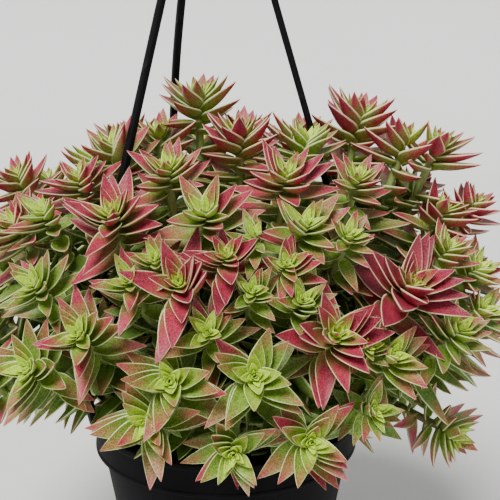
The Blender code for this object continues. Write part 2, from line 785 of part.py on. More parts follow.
def branch_leaves(rosette):
    """Each leaf of a branch: when it is placed, the ring below it, the ring's face it grows from."""
    leaves = []
    for pair, (tilt, share) in enumerate(LEAF_PAIRS):
        for side in (0, 2):
            face = side + pair % 2
            azimuth = rosette.turn + PAIR_TWIST * (pair + 0.5) + 90.0 * face
            leaves.append(BranchLeaf(pair, first_ring(rosette) + pair, face, azimuth, tilt,
                                     rosette.leaf * share))
    if rosette.old_pair:
        for face in (1, 3):
            azimuth = rosette.turn - PAIR_TWIST + 90.0 * face
            leaves.append(BranchLeaf(len(LEAF_PAIRS), OLD_RING, face, azimuth, OLD_PAIR_TILT, rosette.leaf))
    return leaves


def leafy_branch(rings, bud, leaves):
    """Skin the rings to the bud, and draw each leaf out of its own face of the branch."""
    points, faces = spike(rings, bud)
    for leaf, shape in leaves:
        low = 4 * leaf.ring
        near = low + leaf.face
        far = low + (leaf.face + 1) % 4
        quad = (near, far, far + 4, near + 4)
        faces.remove(quad)
        start = len(points)
        points.extend(shape)
        left, right, keel, tip = range(start, start + 4)
        low_near, low_far, high_far, high_near = quad
        faces.extend(((high_far, high_near, right), (high_far, right, left), (left, right, tip),
                      (high_near, low_near, right), (low_near, keel, right), (low_near, low_far, keel),
                      (low_far, left, keel), (low_far, high_far, left),
                      (right, keel, tip), (keel, left, tip)))
    return points, faces


def main_stem(foot, bend, middle):
    points = [arc_point(foot, bend, middle, s) for s in (*STEM_SHARES, FORK_SHARE)]
    points[1] = foot + (STEM_DEPTH + STEM_CLEAR) * UP
    return tube(points, [MAIN_STEM_RADIUS] * len(points), STEM_SIDES)


def grow_shoot(space, shoot, members, rosettes):
    """Find a way from the soil to these rosettes that is clear of strands and other stems."""
    foot, bend, middle = shoot_route(members, rosettes)
    aside = UP.cross(Vector((middle.x, middle.y, 0.0))).normalized()
    for rise, sway in itertools.product(RISES, SWAYS):
        swayed = bend + sway * aside + rise * UP
        stem = main_stem(foot, swayed, middle)
        fork = arc_point(foot, swayed, middle, FORK_SHARE - FORK_OVERLAP)
        branches = [branch_rings(fork, rosettes[m]) for m in members]
        solids = [stem] + [spike(rings, bud) for rings, bud in branches]
        if not any(space.crossed(solid, lambda owner: False) for solid in solids):
            break
    for number, solid in zip([None] + members, solids):
        space.add(solid, (shoot, "stem", number))
    return foot, stem, branches


def place_leaf(space, shoot, number, rosette, rings, leaf):
    """Bend, then shorten, a leaf until it crosses nothing; None if it always does."""
    near = leaf.face
    far = (leaf.face + 1) % 4
    low, high = rings[leaf.ring:leaf.ring + 2]
    root = (low[near] + low[far] + high[near] + high[far]) / 4.0

    def own_branch(owner):
        return owner[1] == "blade" or owner[2] == number

    def own_shoot(owner):
        return owner[1] == "blade" or owner[0] == shoot

    def others(owner):
        return owner[1] == "leaf" or owner[2] != number

    for skip in (own_branch, own_shoot):
        for shrink in SHRINKS:
            for lift in LIFTS:
                settings = (rosette, root, leaf.azimuth, leaf.tilt + lift, leaf.length * shrink)
                if space.crossed(leaf_probe(*settings, 0.0), skip):
                    continue
                blade = leaf_probe(*settings, 0.5)
                if space.crossed(blade, others):
                    continue
                return leaf_shape(*settings), leaf_probe(*settings, 0.0), blade
    return None


def make_shoots(mats, strands, pot_solid):
    rosettes = lay_rosettes()
    groups = group_rosettes(rosettes)
    space = Space()
    for strand in strands:
        space.add(strand, (None, "made", None))
    space.add(pot_solid, (None, "made", None))
    grown = [grow_shoot(space, shoot, members, rosettes) for shoot, members in enumerate(groups)]
    waiting = []
    for shoot, members in enumerate(groups):
        for place, number in enumerate(members):
            for leaf in branch_leaves(rosettes[number]):
                waiting.append((leaf.order, number, shoot, place, leaf))
    waiting.sort(key=lambda item: item[:2])
    kept = {number: [] for number in range(len(rosettes))}
    for _, number, shoot, place, leaf in waiting:
        rings = grown[shoot][2][place][0]
        found = place_leaf(space, shoot, number, rosettes[number], rings, leaf)
        if found is None:
            continue
        shape, solid, blade = found
        kept[number].append((leaf, shape))
        space.add(solid, (shoot, "leaf", number))
        space.add(blade, (shoot, "blade", number))
    feet = []
    for shoot, members in enumerate(groups):
        foot, stem, branches = grown[shoot]
        blush = sum(rosettes[m].blush for m in members) / len(members)
        mat = mats[min(int(blush * 3.0), 2)]
        obj = add_object(f"shoot_{shoot + 1:02d}", stem, mat)
        solids = [leafy_branch(*branch, kept[m]) for branch, m in zip(branches, members)]
        use_pieces(obj, "UNION", solids, mat, "MANIFOLD")
        feet.append(foot)
    return feet


def main():
    clear_scene()
    plastic = material("pot_plastic", (0.035, 0.034, 0.036), 0.45)
    strap_plastic = material("hanger_plastic", (0.028, 0.028, 0.028), 0.4)
    peat = material("soil", (0.05, 0.032, 0.02), 0.95)
    leaves = (material("leaf_green", (0.24, 0.36, 0.08), 0.5),
              material("leaf_blush", (0.38, 0.22, 0.12), 0.5),
              material("leaf_red", (0.42, 0.08, 0.12), 0.5))
    pot = make_pot(plastic)
    make_hook(strap_plastic)
    strands = [strand_solid(number) for number in range(len(STRAND_ANGLES))]
    for number, solid in enumerate(strands):
        add_object(f"hanger_strand_{number + 1}", solid, strap_plastic, 30)
    wall = ([v.co / MM for v in pot.data.vertices], [tuple(f.vertices) for f in pot.data.polygons])
    feet = make_shoots(leaves, strands, wall)
    make_soil(peat, feet)


main()
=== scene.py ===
"""Looks of the potted crassula: fine leaves and stems, pot, hanger and potting mix.

Lengths are in millimetres unless a name says otherwise; meshes are made in metres, +Z up. The front
faces -Y. Where a rule repeats one of the part's own source, it has the same name as there.
"""

import json
import math
import random
from collections import namedtuple

import bpy
import numpy as np
from mathutils import Matrix, Vector, noise
from mathutils.bvhtree import BVHTree

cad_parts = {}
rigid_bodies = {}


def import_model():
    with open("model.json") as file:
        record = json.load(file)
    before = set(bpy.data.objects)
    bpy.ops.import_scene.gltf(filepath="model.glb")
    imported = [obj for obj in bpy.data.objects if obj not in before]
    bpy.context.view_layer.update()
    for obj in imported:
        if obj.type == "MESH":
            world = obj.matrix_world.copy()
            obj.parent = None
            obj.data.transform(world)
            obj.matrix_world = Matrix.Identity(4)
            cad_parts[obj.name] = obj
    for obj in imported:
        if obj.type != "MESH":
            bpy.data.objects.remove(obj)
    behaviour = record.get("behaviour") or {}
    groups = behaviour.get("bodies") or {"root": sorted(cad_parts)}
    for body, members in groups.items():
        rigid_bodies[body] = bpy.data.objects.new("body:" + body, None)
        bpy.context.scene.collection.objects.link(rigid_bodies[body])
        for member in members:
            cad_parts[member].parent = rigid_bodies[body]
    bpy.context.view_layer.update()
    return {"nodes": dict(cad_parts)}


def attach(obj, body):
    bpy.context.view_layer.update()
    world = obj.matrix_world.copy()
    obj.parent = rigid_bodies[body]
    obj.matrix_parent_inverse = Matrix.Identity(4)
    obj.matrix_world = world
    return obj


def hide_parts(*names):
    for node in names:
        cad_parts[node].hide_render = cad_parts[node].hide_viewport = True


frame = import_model()

MM = 0.001
UP = Vector((0.0, 0.0, 1.0))
FRONT = Vector((0.0, -1.0, 0.0))
BACK = Vector((0.0, 1.0, 0.0))

# Pot
POT_HEIGHT = 95.0
RIM_RADIUS = 60.0
SKIRT_HEIGHT = 14.0
SKIRT_WALL = 1.2
WALL = 1.3
BASE_RADIUS = 42.5
WALL_TOP_RADIUS = 56.4
TAPER_TOP = 80.0
PAD_RADIUS = 12.0
FOOT_RECESS_RADIUS = 36.0
FOOT_RECESS = 1.4
FLOOR_TOP = 2.8
DRAIN_HOLES = 5
DRAIN_HOLE_RADIUS = 4.0
DRAIN_RING_RADIUS = 25.0
SLOT_LENGTH = 5.4
SLOT_WIDTH = 2.4
SLOT_RING_RADIUS = 0.5 * (WALL_TOP_RADIUS + RIM_RADIUS - SKIRT_WALL)
POT_SEGMENTS = 120

# Soil
SOIL_EDGE_HEIGHT = 84.0
SOIL_CROWN = 2.5
STEM_DEPTH = 13.0
STEM_RING_RADIUS = 46.0
SOIL_RINGS = 44
SOIL_SEGMENTS = 150
CRUMBS = 900
PERLITE_SHARE = 0.06

# Hanger
GAP = 0.3
STRAND_ANGLES = (216.0, 0.0, 120.0)
STRAND_BOWS = ((17.0, 0.42), (12.0, 0.42), (15.0, 1.3))
STRAND_WIDTH = 3.4
STRAND_THICKNESS = 2.9
STRAND_STATIONS = 240
STRAND_PROBES = 48
STRAND_START = 3.0
STRAND_STOP = 2.0
NUB_SHARES = ((0.39, 0.62, 0.85), (0.51, 0.565, 0.8), (0.45, 0.7))
NUB_LENGTH = 1.5
NUB_RISE = 0.7
STRAND_FOOT_LENGTH = 4.8
STRAND_FOOT_THICKNESS = 1.4
STRAND_BAR_LENGTH = 7.6
SHOULDER_LENGTH = 7.0
TAB_LENGTH = 6.0
TAB_WIDTH = 2.8
TAB_THICKNESS = 1.8
HUB_BOTTOM = 346.0
HUB_RADIUS = 10.0
HUB_THICKNESS = 9.0
HUB_ACROSS = -4.4
SOCKET_RADIUS = 6.0
HOOK_STALK = 8.0
HOOK_RADIUS = 14.0
HOOK_WIRE = 2.4
HOOK_START = -50.0
HOOK_END = 215.0
HOOK_STEPS = 40
HOOK_SIDES = 20

# Mound of foliage
MOUND_HALF_WIDTH = 122.0
MOUND_FRONT = 84.0
MOUND_BACK = 98.0
MOUND_WAIST = 114.0
MOUND_RISE = 112.0
MOUND_DROOP = 20.0
MOUND_POWER = 2.4
SLOPE_STEP = 0.5
HEART_RISE = 14.5
NORMAL_SHARE = 0.75
UPWARD_SHARE = 0.70
FRONT_UPWARD_SHARE = 0.35
FRONT_SHARE = 0.32
FRONT_LEAST = 0.5
FRONT_ROWS = (270.0, 410.0)

# The front view, which places the camera and the rosettes that the photograph shows
EYE = Vector((11.0, -410.6, 268.1))
EYE_PITCH = 13.4
FOCAL_PIXELS = 950.0
FRAME_PIXELS = 500.0
FRAME_MIDDLE = 0.5 * FRAME_PIXELS
SIGHT_RANGE = (260, 620)
SENSOR = 36.0

# Rosettes of the front, each by the pixel of its heart in the photograph: the length of its outer
# leaves, the turn of its first leaf pair in degrees, and its blush from 0 green to 1 red
Seen = namedtuple("Seen", "across_px down_px leaf turn blush back", defaults=(0.0,))
SEEN_ROSETTES = (
    Seen(146, 424, 25, 5, 0.30),
    Seen(233, 456, 20, 14, 0.20),
    Seen(312, 443, 23, 32, 0.35),
    Seen(378, 411, 14, 60, 0.05),
    Seen(169, 381, 25, 65, 0.25),
    Seen(255, 376, 25, 40, 0.20),
    Seen(338, 332, 26, 0, 0.85),
    Seen(395, 354, 21, 20, 0.30),
    Seen(414, 281, 30, 55, 0.95),
    Seen(304, 297, 16, 80, 0.05),
    Seen(252, 287, 15, 30, 0.15),
    Seen(207, 330, 19, 10, 0.30),
    Seen(178, 281, 27, 70, 0.80),
    Seen(225, 252, 21, 80, 0.90),
    Seen(75, 332, 21, 85, 0.50),
    Seen(24, 367, 24, 55, 0.30),
    Seen(30, 281, 18, 20, 0.10),
    Seen(127, 277, 18, 75, 0.30),
    Seen(153, 255, 15, 60, 0.30),
    Seen(10, 220, 23, 30, 0.60),
    Seen(110, 210, 25, 60, 0.70),
    Seen(40, 207, 19, 20, 0.15),
    Seen(166, 163, 21, 40, 0.40),
    Seen(204, 207, 23, 10, 0.35),
    Seen(112, 143, 23, 30, 0.30),
    Seen(198, 92, 24, 50, 0.30),
    Seen(287, 169, 22, 5, 0.60),
    Seen(306, 220, 21, 15, 0.20),
    Seen(255, 230, 14, 80, 0.05),
    Seen(351, 230, 15, 30, 0.25),
    Seen(287, 261, 18, 65, 0.50),
    Seen(446, 204, 22, 20, 0.50),
    Seen(363, 112, 26, 30, 0.45, 10),
    Seen(408, 134, 24, 10, 0.40),
    Seen(306, 140, 24, 60, 0.45, 36),
    Seen(360, 172, 18, 20, 0.35),
    Seen(481, 265, 21, 60, 0.30),
    Seen(488, 306, 19, 30, 0.20),
    Seen(240, 128, 23, 45, 0.60),
    Seen(13, 172, 20, 40, 0.60),
    Seen(77, 172, 20, 10, 0.60),
    Seen(371, 344, 12, 50, 0.10),
    Seen(478, 198, 18, 80, 0.70),
    Seen(440, 140, 23, 50, 0.30),
    Seen(159, 128, 22, 45, 0.45),
)
TRAILING = Seen(459, 437, 20, 0, 0.35)
TRAILING_BACK = -22.0
TRAILING_FACING = Vector((0.72, -0.66, -0.18))

# Rosettes that the photograph does not show
SPREAD_SEED = 10
SPREAD_TRIES = 6000
SPREAD_SPACING = 24.2
SPREAD_LEAF = (18.0, 24.0)
SPREAD_LOWEST = -0.7
SPREAD_STRAND_GAP = 8.0
SPREAD_BLUSH = (1.3, 1.8)
LOWEST_COLUMNS = (-60.0, 90.0, 110.0, 430.0, 445.0, 560.0)
LOWEST_ROWS = (395.0, 385.0, 425.0, 425.0, 330.0, 320.0)

# Shoots
SHOOTS = 38
SHOOT_ROUNDS = 12
SWAYS = (0.0, 6.0, -6.0, 12.0, -12.0, 18.0, -18.0)
RISES = (0.0, 9.0, -7.0, 16.0)
FOOT_SPREAD = 0.93
FOOT_POWER = 0.9
LOW_HEIGHT = 30.0
LOW_BAND = 50.0
LOW_SPREAD = 0.12
BEND_SHARE = 0.62
BEND_RISE = 36.0
BEND_OUTWARD = 1.08
FORK_SHARE = 0.58
FORK_OVERLAP = 0.03
MAIN_STEM_RADIUS = 2.3
BRANCH_RADIUS = 1.7
CORE_RADIUS = 2.5
LEVEL_SWELL = 0.2
CORE_TAPER = 0.12
LEVEL_HEIGHT = 2.2
LEAF_CURL = 10.0
PAIR_TWIST = 6.0
OLD_PAIR_BACK = 13.0
OLD_PAIR_TILT = 14.0
LIFTS = (0.0, 9.0, -9.0, 18.0, -18.0, 28.0, 40.0)
SHRINKS = (1.0, 0.82, 0.66)
PACKED_WIDEST = 0.36
# the part of a packed stem whose ring of corners tells its bend, and how near a corner of a packed
# node has to be to a place worked out here
PROBE_SHARE = 0.4
MATCH = 0.12

# Fine leaves. Each pair of a rosette, from the outside in: tilt from the rosette's plane, share of
# the leaf length, height up the core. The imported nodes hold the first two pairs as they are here.
PAIRS = (
    (4.0, 1.00, 1.1),
    (20.0, 0.92, 3.3),
    (16.0, 0.93, 4.9),
    (29.0, 0.86, 6.3),
    (27.0, 0.84, 7.5),
    (37.0, 0.75, 8.5),
    (38.0, 0.68, 9.4),
    (45.0, 0.58, 10.2),
    (47.0, 0.49, 10.8),
    (52.0, 0.41, 11.3),
    (55.0, 0.33, 11.7),
    (61.0, 0.26, 12.0),
    (65.0, 0.20, 12.3),
    (72.0, 0.15, 12.5),
    (78.0, 0.11, 12.7),
)
# the pairs just under those, from the top down; the last only where the node has no old pair
PAIRS_BELOW = (
    (0.0, 1.00, -2.6),
    (-3.0, 1.00, -7.2),
    (4.0, 0.96, -12.0),
)
PACKED_PAIRS = 2
PLAIN_FROM_PAIR = 9
SMALL_FROM_PAIR = 12
SMALL_ROSETTE = 17.0
LEAF_WIDTH_SHARE = 0.39
LEAF_WIDEST = 0.31
LEAF_TAPER = 1.55
LEAF_THICKNESS = 0.088
MARGIN_THICKNESS = 0.34
LEAF_FOLD = 0.46
# what a leaf tries where it would cross another: extra tilt, share of its length
WAYS = ((0.0, 1.0), (7.0, 1.0), (-6.0, 1.0), (13.0, 0.95), (0.0, 0.82), (10.0, 0.8), (20.0, 0.8),
        (0.0, 0.66), (15.0, 0.64))

# Older leaves down the stems
STEM_SIDES = 10
STEM_PAIR_SPACING = 2.9
STEM_TILT = (-14.0, 24.0)
STEM_LEAF = (20.0, 28.0)
STEM_WAYS = ((10.0, 1.0), (-4.0, 1.0), (24.0, 1.0), (41.0, 1.0), (10.0, 0.8), (-4.0, 0.8), (28.0, 0.8),
             (46.0, 0.8), (10.0, 0.6), (36.0, 0.6), (50.0, 0.6), (12.0, 0.44), (44.0, 0.44))
STEM_LEAF_REACH = 1.11
SHORT_LEAF = 19.0


def around(angle, radius, height):
    a = math.radians(angle)
    return Vector((radius * math.cos(a), radius * math.sin(a), height))


def ease(low, high, value):
    """0 below low, 1 above high, and smooth between."""
    share = np.clip((value - low) / (high - low), 0.0, 1.0)
    return share * share * (3.0 - 2.0 * share)


# Mound and rosettes, by the rules of the part's source


def mound_reach(angle):
    depth = MOUND_FRONT if math.sin(angle) < 0.0 else MOUND_BACK
    return 1.0 / math.hypot(math.cos(angle) / MOUND_HALF_WIDTH, math.sin(angle) / depth)


def mound_level(point):
    """Below 1 inside the mound and above 1 outside it."""
    reach = mound_reach(math.atan2(point.y, point.x))
    rise = MOUND_RISE if point.z > MOUND_WAIST else MOUND_DROOP
    flat = math.hypot(point.x, point.y) / reach
    tall = abs(point.z - MOUND_WAIST) / rise
    return (flat ** MOUND_POWER + tall ** MOUND_POWER) ** (1.0 / MOUND_POWER)


def mound_point(angle, lift):
    flat = math.cos(lift)
    tall = abs(math.sin(lift))
    scale = (flat ** MOUND_POWER + tall ** MOUND_POWER) ** (-1.0 / MOUND_POWER)
    reach = mound_reach(angle)
    rise = MOUND_RISE if lift > 0.0 else MOUND_DROOP
    return Vector((reach * scale * flat * math.cos(angle), reach * scale * flat * math.sin(angle),
                   MOUND_WAIST + rise * scale * math.sin(lift)))


def mound_normal(point):
    slope = Vector((0.0, 0.0, 0.0))
    for axis in range(3):
        shift = Vector((0.0, 0.0, 0.0))
        shift[axis] = SLOPE_STEP
        slope[axis] = mound_level(point + shift) - mound_level(point - shift)
    return slope.normalized()


def sight_axes():
    """The view's directions ahead, to the right and up."""
    pitch = math.radians(EYE_PITCH)
    ahead = Vector((0.0, math.cos(pitch), -math.sin(pitch)))
    return ahead, Vector((1.0, 0.0, 0.0)), Vector((0.0, math.sin(pitch), math.cos(pitch)))


def sight_line(across_px, down_px):
    """Unit vector from the eye through a pixel of the photograph."""
    ahead, right, above = sight_axes()
    aim = (ahead + right * ((across_px - FRAME_MIDDLE) / FOCAL_PIXELS)
           + above * ((FRAME_MIDDLE - down_px) / FOCAL_PIXELS))
    return aim.normalized()


def shows_too_low(point):
    """Whether the photograph's view has this point under its foliage."""
    ahead, right, above = sight_axes()
    way = point - EYE
    zoom = FOCAL_PIXELS / way.dot(ahead)
    across_px = FRAME_MIDDLE + zoom * way.dot(right)
    down_px = FRAME_MIDDLE - zoom * way.dot(above)
    inside = LOWEST_COLUMNS[0] < across_px < LOWEST_COLUMNS[-1]
    return inside and down_px > np.interp(across_px, LOWEST_COLUMNS, LOWEST_ROWS)


def seen_point(across_px, down_px):
    """Where the line of sight first meets the mound, or passes nearest to it."""
    aim = sight_line(across_px, down_px)
    nearest = None
    for step in range(*SIGHT_RANGE):
        point = EYE + step * aim
        level = mound_level(point)
        if nearest is None or level < nearest[0]:
            nearest = (level, point)
        if level <= 1.0:
            break
    return nearest[1]


Rosette = namedtuple("Rosette", "base facing leaf turn blush old_pair")


def rosette_at(point, front, leaf, turn, blush, old_pair):
    """A rosette with its heart here; front says how much it turns to the front, 0 to 1."""
    upward = UPWARD_SHARE + front * (FRONT_UPWARD_SHARE - UPWARD_SHARE)
    facing = NORMAL_SHARE * mound_normal(point) + upward * UP + front * FRONT_SHARE * FRONT
    facing.normalize()
    return Rosette(point - HEART_RISE * facing, facing, leaf, turn, blush, old_pair)


def strand_point(number, share):
    """A point of a strand's centre line, from the rim (0) to the hub (1)."""
    angle = STRAND_ANGLES[number]
    swing, place = STRAND_BOWS[number]
    low = around(angle, SLOT_RING_RADIUS, POT_HEIGHT + STRAND_START)
    high = around(angle, SOCKET_RADIUS, HUB_BOTTOM - STRAND_STOP) + Vector((HUB_ACROSS, 0.0, 0.0))
    bow = swing * math.sin(math.pi * share ** place) if share > 0.0 else 0.0
    return low.lerp(high, share) + around(angle, bow, 0.0)


def strand_distance(point):
    places = [strand_point(number, i / STRAND_PROBES)
              for number in range(len(STRAND_ANGLES)) for i in range(STRAND_PROBES + 1)]
    return min((point - place).length for place in places)


def lay_rosettes():
    """All rosettes: those of the photograph first, then a seeded spread over the rest."""
    rosettes = []
    for seen in SEEN_ROSETTES:
        point = seen_point(seen.across_px, seen.down_px) + seen.back * BACK
        low = (seen.down_px - FRONT_ROWS[0]) / (FRONT_ROWS[1] - FRONT_ROWS[0])
        front = min(max(low, FRONT_LEAST), 1.0)
        rosettes.append(rosette_at(point, front, seen.leaf, seen.turn, seen.blush, True))
    aim = sight_line(TRAILING.across_px, TRAILING.down_px)
    heart = EYE + aim * ((TRAILING_BACK - EYE.y) / aim.y)
    facing = TRAILING_FACING.normalized()
    rosettes.append(Rosette(heart - HEART_RISE * facing, facing, TRAILING.leaf, TRAILING.turn,
                            TRAILING.blush, True))
    draw = random.Random(SPREAD_SEED)
    for _ in range(SPREAD_TRIES):
        angle = draw.uniform(-math.pi, math.pi)
        lift = math.asin(draw.uniform(SPREAD_LOWEST, 1.0))
        leaf = draw.uniform(*SPREAD_LEAF)
        turn = draw.uniform(0.0, 90.0)
        blush = draw.betavariate(*SPREAD_BLUSH)
        point = mound_point(angle, lift)
        rosette = rosette_at(point, 0.0, leaf, turn, blush, False)
        if shows_too_low(point):
            continue
        if min((rosette.base - other.base).length for other in rosettes) < SPREAD_SPACING:
            continue
        if strand_distance(rosette.base) >= SPREAD_STRAND_GAP:
            rosettes.append(rosette)
    return rosettes


def group_rosettes(rosettes):
    """Share neighbouring rosettes out among the shoots."""
    places = [r.base for r in rosettes]
    centres = [places[0]]
    while len(centres) < SHOOTS:
        centres.append(max(places, key=lambda p: min((p - c).length for c in centres)).copy())
    for _ in range(SHOOT_ROUNDS):
        groups = [[] for _ in centres]
        for number, place in enumerate(places):
            nearest = min(range(len(centres)), key=lambda k: (place - centres[k]).length)
            groups[nearest].append(number)
        for k, members in enumerate(groups):
            if members:
                centres[k] = sum((places[m] for m in members), Vector((0, 0, 0))) / len(members)
    return [members for members in groups if members]


def arc_point(a, b, c, share):
    """A point of the curve that leaves a towards b and arrives at c."""
    return a.lerp(b, share).lerp(b.lerp(c, share), share)


def soil_height(radius):
    return SOIL_EDGE_HEIGHT + SOIL_CROWN * (1.0 - (radius / WALL_TOP_RADIUS) ** 2)


def shoot_route(members, rosettes):
    """Foot in the soil, bend and fork of the stem that carries these rosettes."""
    middle = sum((rosettes[m].base for m in members), Vector((0, 0, 0))) / len(members)
    angle = math.atan2(middle.y, middle.x)
    spread = math.hypot(middle.x, middle.y) / mound_reach(angle)
    low = max(0.0, (MOUND_WAIST + LOW_HEIGHT - middle.z) / LOW_BAND)
    share = min(1.0, FOOT_SPREAD * spread ** FOOT_POWER + LOW_SPREAD * min(low, 1.0))
    radius = STEM_RING_RADIUS * share
    foot = Vector((radius * math.cos(angle), radius * math.sin(angle), 0.0))
    foot.z = soil_height(radius) - STEM_DEPTH
    rise = max(BEND_SHARE * (middle.z - SOIL_EDGE_HEIGHT), BEND_RISE)
    bend = Vector((foot.x * BEND_OUTWARD, foot.y * BEND_OUTWARD, SOIL_EDGE_HEIGHT + rise))
    return foot, bend, middle


def frame_of(facing):
    """Right and upper directions in a rosette's own plane, as seen from the front."""
    right = Vector((1.0, 0.0, 0.0)) - facing * facing.x
    right.normalize()
    return right, facing.cross(right)


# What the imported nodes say


def corners(node):
    mesh = frame["nodes"][node].data
    found = np.zeros(3 * len(mesh.vertices), np.float32)
    mesh.vertices.foreach_get("co", found)
    return found.reshape(-1, 3).astype(float) / MM


def packed_bend(known, foot, bend, middle):
    """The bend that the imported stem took: the one that puts a ring of its corners in the right place."""
    aside = UP.cross(Vector((middle.x, middle.y, 0.0))).normalized()
    best = None
    for rise in RISES:
        for sway in SWAYS:
            swayed = bend + sway * aside + rise * UP
            centre = np.array(arc_point(foot, swayed, middle, PROBE_SHARE))
            miss = np.abs(np.linalg.norm(known - centre, axis=1) - MAIN_STEM_RADIUS)
            miss = float(np.sort(miss)[:4].sum())
            if best is None or miss < best[0]:
                best = (miss, swayed)
    return best[1]


def packed_leaf(known, root, outward, facing, tilt, length):
    """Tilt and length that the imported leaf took, or None if the part left that leaf out."""
    best = (MATCH, None)
    for shrink in SHRINKS:
        for lift in LIFTS:
            tip = root.copy()
            for share, angle in ((PACKED_WIDEST, tilt + lift), (1.0 - PACKED_WIDEST, tilt + lift + LEAF_CURL)):
                a = math.radians(angle)
                tip += share * shrink * length * (math.cos(a) * outward + math.sin(a) * facing)
            miss = float(np.min(np.linalg.norm(known - np.array(tip), axis=1)))
            if miss < best[0]:
                best = (miss, (tilt + lift, shrink * length))
    return best[1]


# Skins: points, faces and per-point leaf values, gathered for one piece


def ring_faces(rings, count):
    """Faces of rings of points, with the first and last point closing the ends."""
    quads = []
    for level in range(rings - 1):
        low = 1 + level * count
        for i in range(count):
            j = (i + 1) % count
            quads.append((low + i, low + j, low + count + j, low + count + i))
    last = 1 + (rings - 1) * count
    end = last + count
    triangles = []
    for i in range(count):
        j = (i + 1) % count
        triangles.append((0, 1 + j, 1 + i))
        triangles.append((last + i, last + j, end))
    return np.array(quads), np.array(triangles)


class Skin:
    """Gathers closed forms into one mesh, with the values that the leaf material reads."""

    def __init__(self):
        self.points = []
        self.quads = []
        self.triangles = []
        self.place = []
        self.look = []
        self.slots = []
        self.count = 0

    def add(self, points, quads, triangles, place, look, slot=0):
        self.points.append(points)
        self.quads.append(quads + self.count)
        self.triangles.append(triangles + self.count)
        self.place.append(place)
        self.look.append(np.tile(look, (len(points), 1)))
        self.slots.append((slot, len(quads), len(triangles)))
        self.count += len(points)

    def build(self, name, mats):
        points = np.concatenate(self.points) * MM
        quads = np.concatenate(self.quads)
        triangles = np.concatenate(self.triangles)
        mesh = bpy.data.meshes.new(name)
        mesh.vertices.add(len(points))
        mesh.vertices.foreach_set("co", points.astype(np.float32).ravel())
        corners_used = np.concatenate([quads.ravel(), triangles.ravel()])
        mesh.loops.add(len(corners_used))
        mesh.loops.foreach_set("vertex_index", corners_used.astype(np.int32))
        starts = np.concatenate([4 * np.arange(len(quads)), 4 * len(quads) + 3 * np.arange(len(triangles))])
        mesh.polygons.add(len(starts))
        mesh.polygons.foreach_set("loop_start", starts.astype(np.int32))
        numbers = [np.full(n, slot) for slot, n, _ in self.slots] + [np.full(n, slot) for slot, _, n in self.slots]
        mesh.polygons.foreach_set("material_index", np.concatenate(numbers).astype(np.int32))
        for mat in mats:
            mesh.materials.append(mat)
        for title, values in (("leaf_place", self.place), ("leaf_look", self.look)):
            layer = mesh.attributes.new(title, "FLOAT_VECTOR", "POINT")
            layer.data.foreach_set("vector", np.concatenate(values).astype(np.float32).ravel())
        mesh.update(calc_edges=True)
        mesh.shade_smooth()
        mesh.validate()
        obj = bpy.data.objects.new(name, mesh)
        bpy.context.scene.collection.objects.link(obj)
        return obj


class LeafForm:
    """Shares along and across for each point of a leaf's skin, and its faces."""

    def __init__(self, along, above, below):
        across = above + below
        self.rings = len(along)
        self.around = len(across)
        self.along = np.array(along)
        self.across = np.array(across)
        self.under = np.array([0.0] * len(above) + [1.0] * len(below))
        self.quads, self.triangles = ring_faces(self.rings, self.around)
        inner = np.stack([np.repeat(self.along, self.around), np.tile(self.across, self.rings),
                          np.tile(self.under, self.rings)], axis=1)
        self.place = np.concatenate([[[0.0, 0.0, 0.5]], inner, [[1.0, 1.0, 0.5]]])


FINE_LEAF = LeafForm((0.0, 0.07, 0.16, 0.26, 0.37, 0.49, 0.61, 0.72, 0.82, 0.90, 0.96, 0.99),
                     (-1.0, -0.86, -0.45, 0.0, 0.45, 0.86, 1.0), (0.93, 0.5, 0.0, -0.5, -0.93))
PLAIN_LEAF = LeafForm((0.0, 0.12, 0.28, 0.46, 0.64, 0.80, 0.92, 0.985),
                      (-1.0, -0.5, 0.0, 0.5, 1.0), (0.9, 0.0, -0.9))
SMALL_LEAF = LeafForm((0.0, 0.18, 0.38, 0.62, 0.83, 0.97), (-1.0, 0.0, 1.0), (0.9, 0.0, -0.9))

Leaf = namedtuple("Leaf", "root outward facing length tilt curl sweep width fold")


